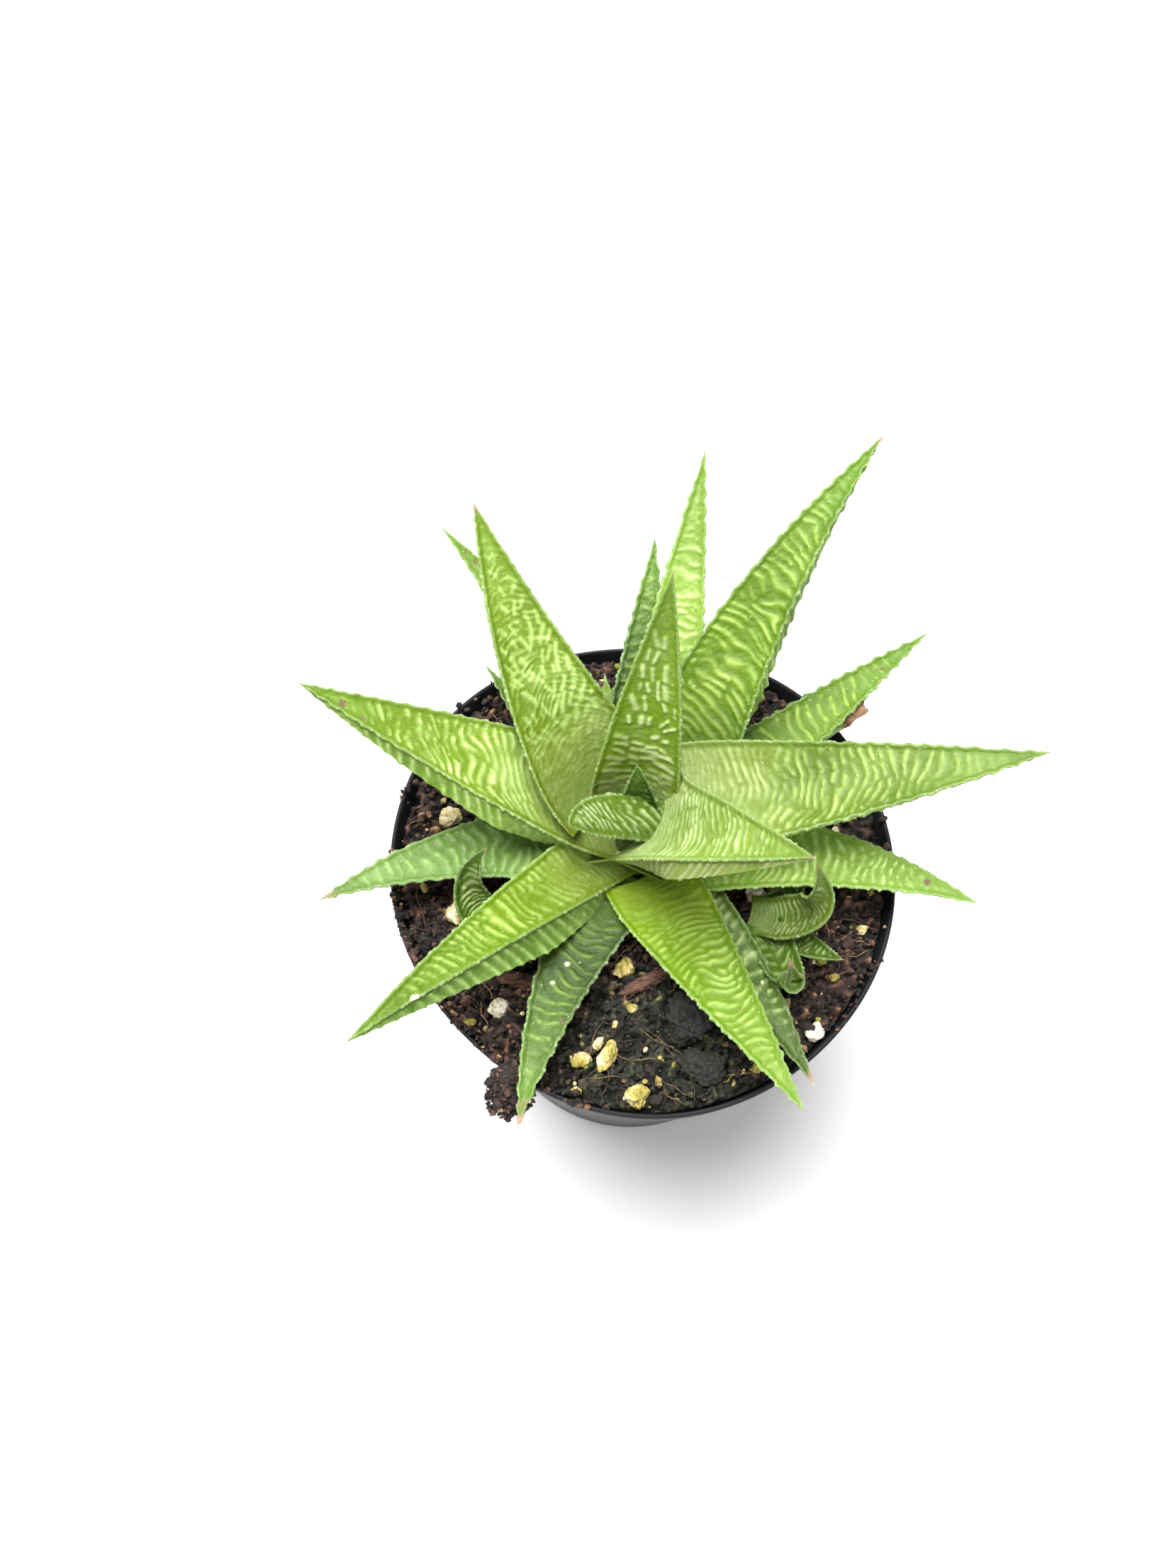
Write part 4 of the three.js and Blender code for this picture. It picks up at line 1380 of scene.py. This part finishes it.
    def heap_up(self, peat: Coat, clump: Lump, level: float) -> None:
        """Heaps crumbs of peat over the clump that hangs over the rim.

        Args:
            peat: The mix's finish.
            clump: The clump's place and size.
            level: The height of its middle.
        """
        count = self.clump_crumbs
        bearing = unit(self.rng.standard_normal((count, 3)))
        bearing[:, 2] = np.abs(bearing[:, 2]) * np.where(self.rng.random(count) < 0.25, -1, 1)
        reach = self.rng.uniform(0.72, 1.12, (count, 1))
        turn = math.radians(clump.turn)
        spots = bearing * reach * np.array(clump.size) / 2
        across = spots[:, 0] * math.cos(turn) - spots[:, 1] * math.sin(turn)
        spots[:, 1] = spots[:, 0] * math.sin(turn) + spots[:, 1] * math.cos(turn)
        spots[:, 0] = across
        spots += np.array([*clump.at, level])
        sizes = np.minimum(0.3 + 0.3 * self.rng.gamma(1.3, 1.0, count), 2.4)
        heap = self.balls("rim_clump_crumbs", 1, spots, sizes, (0.45, 1.4), 0.2)
        kinds = np.clip(self.rng.normal(0.42, 0.2, count), 0, 0.95)
        tint(heap, kinds, 0 * kinds)
        fit(heap, peat)

    def strew_specks(self, perlite: Coat) -> None:
        """Strews small grains of perlite over the mix."""
        more = self.scatter(self.loose_specks, self.pot.rim_radius - 3)
        spots = np.vstack([np.array(self.known_specks), more])
        known_sizes = self.rng.uniform(1.5, 2.5, len(self.known_specks))
        sizes = np.concatenate([known_sizes, self.rng.uniform(0.5, 1.3, len(more))])
        places = np.column_stack([spots, self.top(spots[:, 0], spots[:, 1]) + 0.5 + 0.2 * sizes])
        heap = self.balls("perlite_specks", 2, places, sizes, (0.7, 1.2), 0.15)
        stains = self.rng.uniform(0.2, 0.85, len(sizes))
        tint(heap, stains, 0 * stains)
        fit(heap, perlite)

    def balls(
        self, name: str, detail: int, places: np.ndarray, sizes: np.ndarray, stretch: Pair, rough: float
    ) -> bpy.types.Object:
        """Makes one small ball many times, each copy stretched, turned and roughened its own way.

        Args:
            name: The name of the piece that holds them all.
            detail: How often a ball's faces are split.
            places: Where the balls go.
            sizes: How large they are.
            stretch: The least and the most that a size is multiplied by along a side.
            rough: How far corners stray, as a share of the size.

        Returns:
            One piece that holds all the balls.
        """
        deselect()
        bpy.ops.mesh.primitive_ico_sphere_add(subdivisions=detail, radius=0.5)
        ball = adopt("ball")
        base = coordinates(ball.data) * MM
        faces = np.array([list(face.vertices) for face in ball.data.polygons])
        bpy.data.objects.remove(ball)
        count = len(places)
        sides = sizes[:, None] * self.rng.uniform(*stretch, (count, 3))
        turns = self.rng.uniform(0, 2 * np.pi, (count, 3))
        shapes = base[None] * (1 + self.rng.normal(0, rough, (count, len(base), 1)))
        shapes = shapes * sides[:, None]
        for axis in (0, 1, 2):
            one, two = (axis + 1) % 3, (axis + 2) % 3
            c, s = np.cos(turns[:, axis])[:, None], np.sin(turns[:, axis])[:, None]
            first = shapes[..., one] * c - shapes[..., two] * s
            shapes[..., two] = shapes[..., one] * s + shapes[..., two] * c
            shapes[..., one] = first
        points = (shapes + places[:, None]).reshape(-1, 3) * MM
        starts = (np.arange(count) * len(base))[:, None, None]
        mesh = bpy.data.meshes.new(name)
        mesh.from_pydata(points.tolist(), [], (faces[None] + starts).reshape(-1, 3).tolist())
        return add_object(name, mesh)

    def fibre(self, number: int, spot: np.ndarray, radius: float) -> list[Triple]:
        """Bends one fibre over the mix.

        Args:
            number: Which fibre it is, which gives it its own wave.
            spot: Where its middle is.
            radius: The radius of the mix, which it stays inside of.

        Returns:
            Its points, ring by ring.
        """
        share = np.linspace(-0.5, 0.5, self.fibre_joints)
        length = self.rng.uniform(3, 11)
        thick = self.rng.uniform(0.07, 0.2)
        turn, curl = self.rng.uniform(0, 2 * np.pi), self.rng.normal(0, 0.28) * length
        ahead = share * length
        aside = curl * (share**2 - 0.08) + 0.25 * np.sin(9 * share + number)
        x = spot[0] + ahead * math.cos(turn) - aside * math.sin(turn)
        y = spot[1] + ahead * math.sin(turn) + aside * math.cos(turn)
        held = np.minimum(1, (radius - 0.6) / np.maximum(np.hypot(x, y), 1e-6))
        x, y = x * held, y * held
        z = self.top(x, y) + 0.75 + 0.35 * np.cos(4 * share + number)
        width = thick * (1 - 0.7 * np.abs(2 * share) ** 3)
        points = []
        for k in range(self.fibre_joints):
            for corner in range(self.fibre_sides):
                angle = 2 * math.pi * corner / self.fibre_sides
                across = width[k] * math.cos(angle)
                points.append((x[k] - across * math.sin(turn), y[k] + across * math.cos(turn),
                               z[k] + width[k] * math.sin(angle)))
        return points

    def strew_fibres(self, peat: Coat, radius: float) -> None:
        """Strews thin bent fibres over the mix."""
        joints, sides = self.fibre_joints, self.fibre_sides
        points, faces, kinds, damps = [], [], [], []
        for number, spot in enumerate(self.scatter(self.fibres, radius - 2)):
            start = len(points)
            points += self.fibre(number, spot, radius)
            for k in range(joints - 1):
                for corner in range(sides):
                    one, two = start + k * sides + corner, start + k * sides + (corner + 1) % sides
                    faces.append((one, two, two + sides, one + sides))
            faces.append(tuple(start + corner for corner in reversed(range(sides))))
            faces.append(tuple(start + (joints - 1) * sides + corner for corner in range(sides)))
            kind = self.rng.choice([0.62, 0.75, 0.88, 0.97], p=[0.55, 0.3, 0.12, 0.03])
            kinds += [kind] * (joints * sides)
            damps += [float(self.damp(spot[0], spot[1])) * 0.4] * (joints * sides)
        mesh = bpy.data.meshes.new("potting_mix_fibres")
        mesh.from_pydata((np.array(points) * MM).tolist(), [], faces)
        tangle = add_object("potting_mix_fibres", mesh)
        pick(tangle)
        bpy.ops.object.mode_set(mode="EDIT")
        face_outwards()
        bpy.ops.object.shade_smooth()
        tint(tangle, np.array(kinds), np.array(damps))
        fit(tangle, peat)


@dataclass
class Litter:
    """The larger loose things on the mix: perlite, bark, clods and the clump over the rim."""

    mix: PottingMix
    sunk: float = 0.25
    seed: int = 7

    def lump(
        self, item: Lump, level: float, deep: float, pits: float, detail: int = 5
    ) -> bpy.types.Object:
        """Models one rough lump.

        Args:
            item: The lump's place and size.
            level: The height of its middle.
            deep: How far its big dents go, as a share of its size.
            pits: How far its small dents go.
            detail: How often its faces are split.

        Returns:
            The lump.
        """
        deselect()
        bpy.ops.mesh.primitive_ico_sphere_add(subdivisions=detail, radius=0.5 * MM)
        piece = adopt(f"{item.name}_rough")
        self.seed += 1
        points = coordinates(piece.data)
        bearing = unit(points)
        dents = self.dents(bearing, 1.6) + 0.5 * self.dents(bearing, 0.8)
        points = points * (1 + deep * dents + 0.5 * pits * self.dents(bearing, 0.34))[:, None]
        place(piece.data, points * np.array(item.size))
        bpy.ops.object.mode_set(mode="EDIT")
        bpy.ops.mesh.select_all(action="SELECT")
        turn = math.radians(-item.turn)
        bpy.ops.transform.rotate(value=turn, orient_axis="Z", center_override=(0, 0, 0))
        bpy.ops.transform.translate(value=(item.at[0] * MM, item.at[1] * MM, level * MM))
        bpy.ops.object.mode_set(mode="OBJECT")
        bpy.ops.object.shade_smooth()
        stain = np.full(len(piece.data.vertices), item.stain)
        tint(piece, stain, 0 * stain)
        return piece

    def dents(self, bearing: np.ndarray, size: float) -> np.ndarray:
        """Gives smooth random dents all round a ball.

        Args:
            bearing: Directions from the ball's middle.
            size: How wide a dent and a bump are together, in radii.

        Returns:
            The dents there, spread about 0 by 1.
        """
        rng = np.random.default_rng(self.seed * 10 + round(size * 100))
        waves = unit(rng.standard_normal((28, 3))) * 2 * np.pi / size * rng.uniform(0.6, 1.3, (28, 1))
        return np.cos(bearing @ waves.T + rng.uniform(0, 2 * np.pi, 28)).sum(axis=1) / math.sqrt(14)

    def lay(
        self, items: list[Lump], coat: Coat, deep: float, pits: float, detail: int = 5, lift: float = 0.0
    ) -> None:
        """Models, dresses and fits lumps that lie on the mix.

        Args:
            items: The lumps.
            coat: Their finish.
            deep: How far their big dents go, as a share of their size.
            pits: How far their small dents go.
            detail: How often their faces are split.
            lift: How much higher they lie than others.
        """
        for item in items:
            level = float(self.mix.top(*item.at)) + self.sunk * item.size[2] + lift
            fit(self.lump(item, level, deep, pits, detail), coat, item.name)


@dataclass
class FlowerStalk:
    """The stub of an old flower stalk, with its broken end."""

    start: Triple = (7.5, 5, 90)
    end: Triple = (47.8, 32.4, 96.8)
    radius: float = 1.0
    end_radius: float = 1.2
    sides: int = 24
    steps: int = 60

    def build(self, coat: Coat) -> None:
        """Models, dresses and fits the stalk."""
        deselect()
        bpy.ops.mesh.primitive_cylinder_add(
            vertices=self.sides, radius=1 * MM, depth=1 * MM, end_fill_type="TRIFAN"
        )
        stalk = adopt("flower_stalk_stub")
        bpy.ops.object.mode_set(mode="EDIT")
        bpy.ops.mesh.select_mode(type="EDGE")
        bpy.ops.mesh.select_all(action="DESELECT")
        bpy.ops.object.mode_set(mode="OBJECT")
        for rung in stalk.data.edges:
            low, high = (stalk.data.vertices[v].co.z for v in rung.vertices)
            rung.select = abs(low - high) > 0.5 * MM
        bpy.ops.object.mode_set(mode="EDIT")
        bpy.ops.mesh.subdivide(number_cuts=self.steps)
        bpy.ops.object.mode_set(mode="OBJECT")
        points = coordinates(stalk.data)
        t = points[:, 2] + 0.5
        make = ReliefMaker(90)
        bark, joint = make.lumps(2.0, 0.8), make.lumps(1.2, 1.2)
        angle = np.arctan2(points[:, 1], points[:, 0])
        start, end = np.array(self.start), np.array(self.end)
        along = unit(end - start)
        right = unit(np.cross(along, (0, 0, 1)))
        up = np.cross(right, along)
        span = np.linalg.norm(end - start)
        collar = 0.35 * np.exp(-(((t - 0.9) / 0.02) ** 2)) + 0.3 * np.exp(-(((t - 0.985) / 0.02) ** 2))
        radius = self.radius + (self.end_radius - self.radius) * t + collar
        radius = (radius + 0.07 * bark.at(t * span, angle * 2))[:, None]
        torn = np.where(t > 0.999, 0.35 * joint.at(points[:, 0] * 2, points[:, 1] * 2), 0)
        middle = start + (t * span + torn)[:, None] * along
        across, upwards = (points[:, :1] * radius) * right, (points[:, 1:2] * radius) * up
        place(stalk.data, middle + across + upwards)
        bpy.ops.object.shade_smooth()
        tint(stalk, smoothstep(0.82, 0.93, t), 0 * t)
        fit(stalk, coat, "flower_stalk")


@dataclass(frozen=True)
class StalkFinish:
    """Finish of the old stalk: green, turning brown and tan at its broken end."""

    name: str = "stalk_old"
    slot: str = "stalk"

    def make(self) -> Coat:
        """Builds the material."""
        bench = NodeBench(self.name, self.slot)
        dead, _, _, _ = bench.painted("grain")
        share = bench.vary(dead, bench.noise(900, 4), 0.7)
        colour = bench.ramp(
            share, (0.1, "8fae62"), (0.4, "7d6f3a"), (0.6, "55331f"), (0.85, "7a5038"), (1.0, "a88464")
        )
        return bench.done(colour, 0.7, bench.noise(1500, 4), 0.15)


# ---- Studio ---------------------------------------------------------------------------------


@dataclass
class Studio:
    """Floor, soft light and camera."""

    eye: Triple = (-10.9, -96.6, 313.9)
    pitch: float = 63.0
    lens: float = 27.195
    aim_level: float = 90.0
    floor_size: float = 6000.0

    def aim_camera(self) -> None:
        """Places the camera."""
        data = bpy.data.cameras.new("camera")
        data.lens, data.sensor_width, data.clip_start = self.lens, 36, 0.01
        camera = add_object("camera", data)
        camera.location = Vector(self.eye) * MM
        camera.rotation_euler = (math.radians(90 - self.pitch), 0, 0)
        bpy.context.scene.camera = camera

    def lay_floor(self) -> None:
        """Lays a plain pale floor."""
        deselect()
        bpy.ops.mesh.primitive_plane_add(size=self.floor_size * MM)
        floor = adopt("floor")
        NodeBench("floor_paint", "floor").done(linear("f2f2f0"), 0.9).cover(floor)

    def hang_lights(self) -> None:
        """Hangs one broad soft light overhead and a weak one in front, in a pale room."""
        for name, spot, size, power in (
            ("sky_panel", (-220, 300, 1250), 1100, 38),
            ("front_panel", (300, -1100, 700), 1000, 7),
        ):
            data = bpy.data.lights.new(name, "AREA")
            data.shape, data.size, data.energy = "DISK", size * MM, power
            lamp = add_object(name, data)
            lamp.location = Vector(spot) * MM
            aim = Vector((0, 0, self.aim_level * MM)) - lamp.location
            lamp.rotation_euler = aim.to_track_quat("-Z", "Y").to_euler()
        world = bpy.data.worlds.new("pale_room")
        world.use_nodes = True
        background = world.node_tree.nodes["Background"]
        background.inputs["Color"].default_value = (1.0, 1.0, 1.0, 1.0)
        background.inputs["Strength"].default_value = 0.4
        bpy.context.scene.world = world
        bpy.context.scene.view_settings.view_transform = "Standard"


# ---- Assembly -------------------------------------------------------------------------------


def perlite_lumps() -> list[Lump]:
    """Lists the larger perlite grains."""
    return [
        Lump("perlite_1", (-28.4, -30.2), (4.6, 3.6, 3.2), 20, 0.12),
        Lump("perlite_2", (23.4, -6.4), (3.4, 4, 3.6), 70, 0.2),
        Lump("perlite_3", (27.8, -6), (3.2, 2.6, 2.6), 0, 0.35),
        Lump("perlite_4", (-3.7, -21.9), (4.2, 3.8, 3.2), 50, 0.55),
        Lump("perlite_5", (-7.1, -39.4), (5.6, 3.2, 3), 62, 0.5),
        Lump("perlite_6", (-12.4, -40.2), (4.2, 3, 2.4), 10, 0.55),
        Lump("perlite_7", (-1.6, -47.2), (4.6, 4.2, 3.4), 30, 0.5),
        Lump("perlite_8", (-40.2, 11.5), (5, 3.4, 3), 15, 0.4),
        Lump("perlite_9", (-37.8, -10.7), (4, 3.4, 3), 100, 0.28),
        Lump("perlite_10", (33.2, -35.1), (3.8, 3.2, 2.6), 40, 0.05),
    ]


def bark_chips() -> list[Lump]:
    """Lists the slivers of bark."""
    return [
        Lump("bark_chip_1", (1.2, -24.6), (10.8, 2.6, 1.8), 27),
        Lump("bark_chip_2", (-24.6, -24.4), (9, 3.2, 1.6), -12),
    ]


def clods() -> list[Lump]:
    """Lists the charred clods."""
    return [
        Lump("clod_1", (9.2, -31.8), (7.6, 9, 4.4), 12),
        Lump("clod_2", (11.2, -41.6), (7.4, 6.2, 3.6), -20),
    ]


def hang_clump(litter: Litter, peat: Coat) -> None:
    """Hangs the crumbly clump of mix over the rim, round a smaller core."""
    clump = Lump("rim_clump", (-25.4, -46.6), (10, 8.4, 6.4), 60, 0.3)
    core_share, level, core_level = 0.78, 88.3, 88.5
    core = replace(clump, size=tuple(core_share * side for side in clump.size))
    fit(litter.lump(core, core_level, deep=0.1, pits=0.07), peat, "rim_clump")
    litter.mix.heap_up(peat, clump, level)


def grow_stems(litter: Litter, stem: Coat) -> None:
    """Gives the buried stem and roots their finish, and models the offsets' short stems."""
    stem.cover(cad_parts["stem_and_roots"])
    level = 86.7
    for crown in (
        Lump("right_offset_crown", RIGHT_AXIS, (4.2, 4.2, 3.4), 0),
        Lump("left_offset_crown", LEFT_AXIS, (4, 4, 3.4), 0),
    ):
        fit(litter.lump(crown, level, deep=0.05, pits=0.02), stem, crown.name)


def main() -> None:
    """Builds the plant, its pot and the studio, one assembly at a time."""
    logging.basicConfig(level=logging.INFO, format="%(name)s %(message)s")
    studio = Studio()
    studio.aim_camera()
    coats = {skin: skin.value.make() for skin in Skin}
    pot = NurseryPot()
    pot.build(PotPlastic().make())
    mix = PottingMix(pot)
    peat = PeatFinish().make()
    mix.build(peat)
    Rosette(MAIN_AXIS, main_leaves(), seed=100).build(coats)
    Rosette(RIGHT_AXIS, right_leaves(), seed=200, prefix="right_offset_", suffix="_leaf").build(coats)
    Rosette(LEFT_AXIS, left_leaves(), seed=300, prefix="left_offset_", suffix="_leaf").build(coats)
    FlowerStalk().build(StalkFinish().make())
    litter = Litter(mix)
    perlite = PerliteFinish().make()
    litter.lay(perlite_lumps(), perlite, deep=0.12, pits=0.05)
    bark = WoodyFinish("bark_fibre", "bark", "1e120d", "7a5440", (0.3, 1, 1), 1500, 0.5).make()
    litter.lay(bark_chips(), bark, deep=0.12, pits=0.12, detail=6)
    char = WoodyFinish("charred", "charred_clod", "070706", "33332f", scale=1500, depth=0.6).make()
    litter.lay(clods(), char, deep=0.08, pits=0.16, detail=6, lift=1.0)
    hang_clump(litter, peat)
    mix.strew_specks(perlite)
    # The stem's dark green is partly its own colour and partly painted shade in the gap at the rosette's
    # centre. The offsets' crowns share it.
    grow_stems(litter, WoodyFinish("stem_skin_and_shade", "stem", "28340f", "4c5c22").make())
    studio.lay_floor()
    studio.hang_lights()


if __name__ == "__main__":
    main()
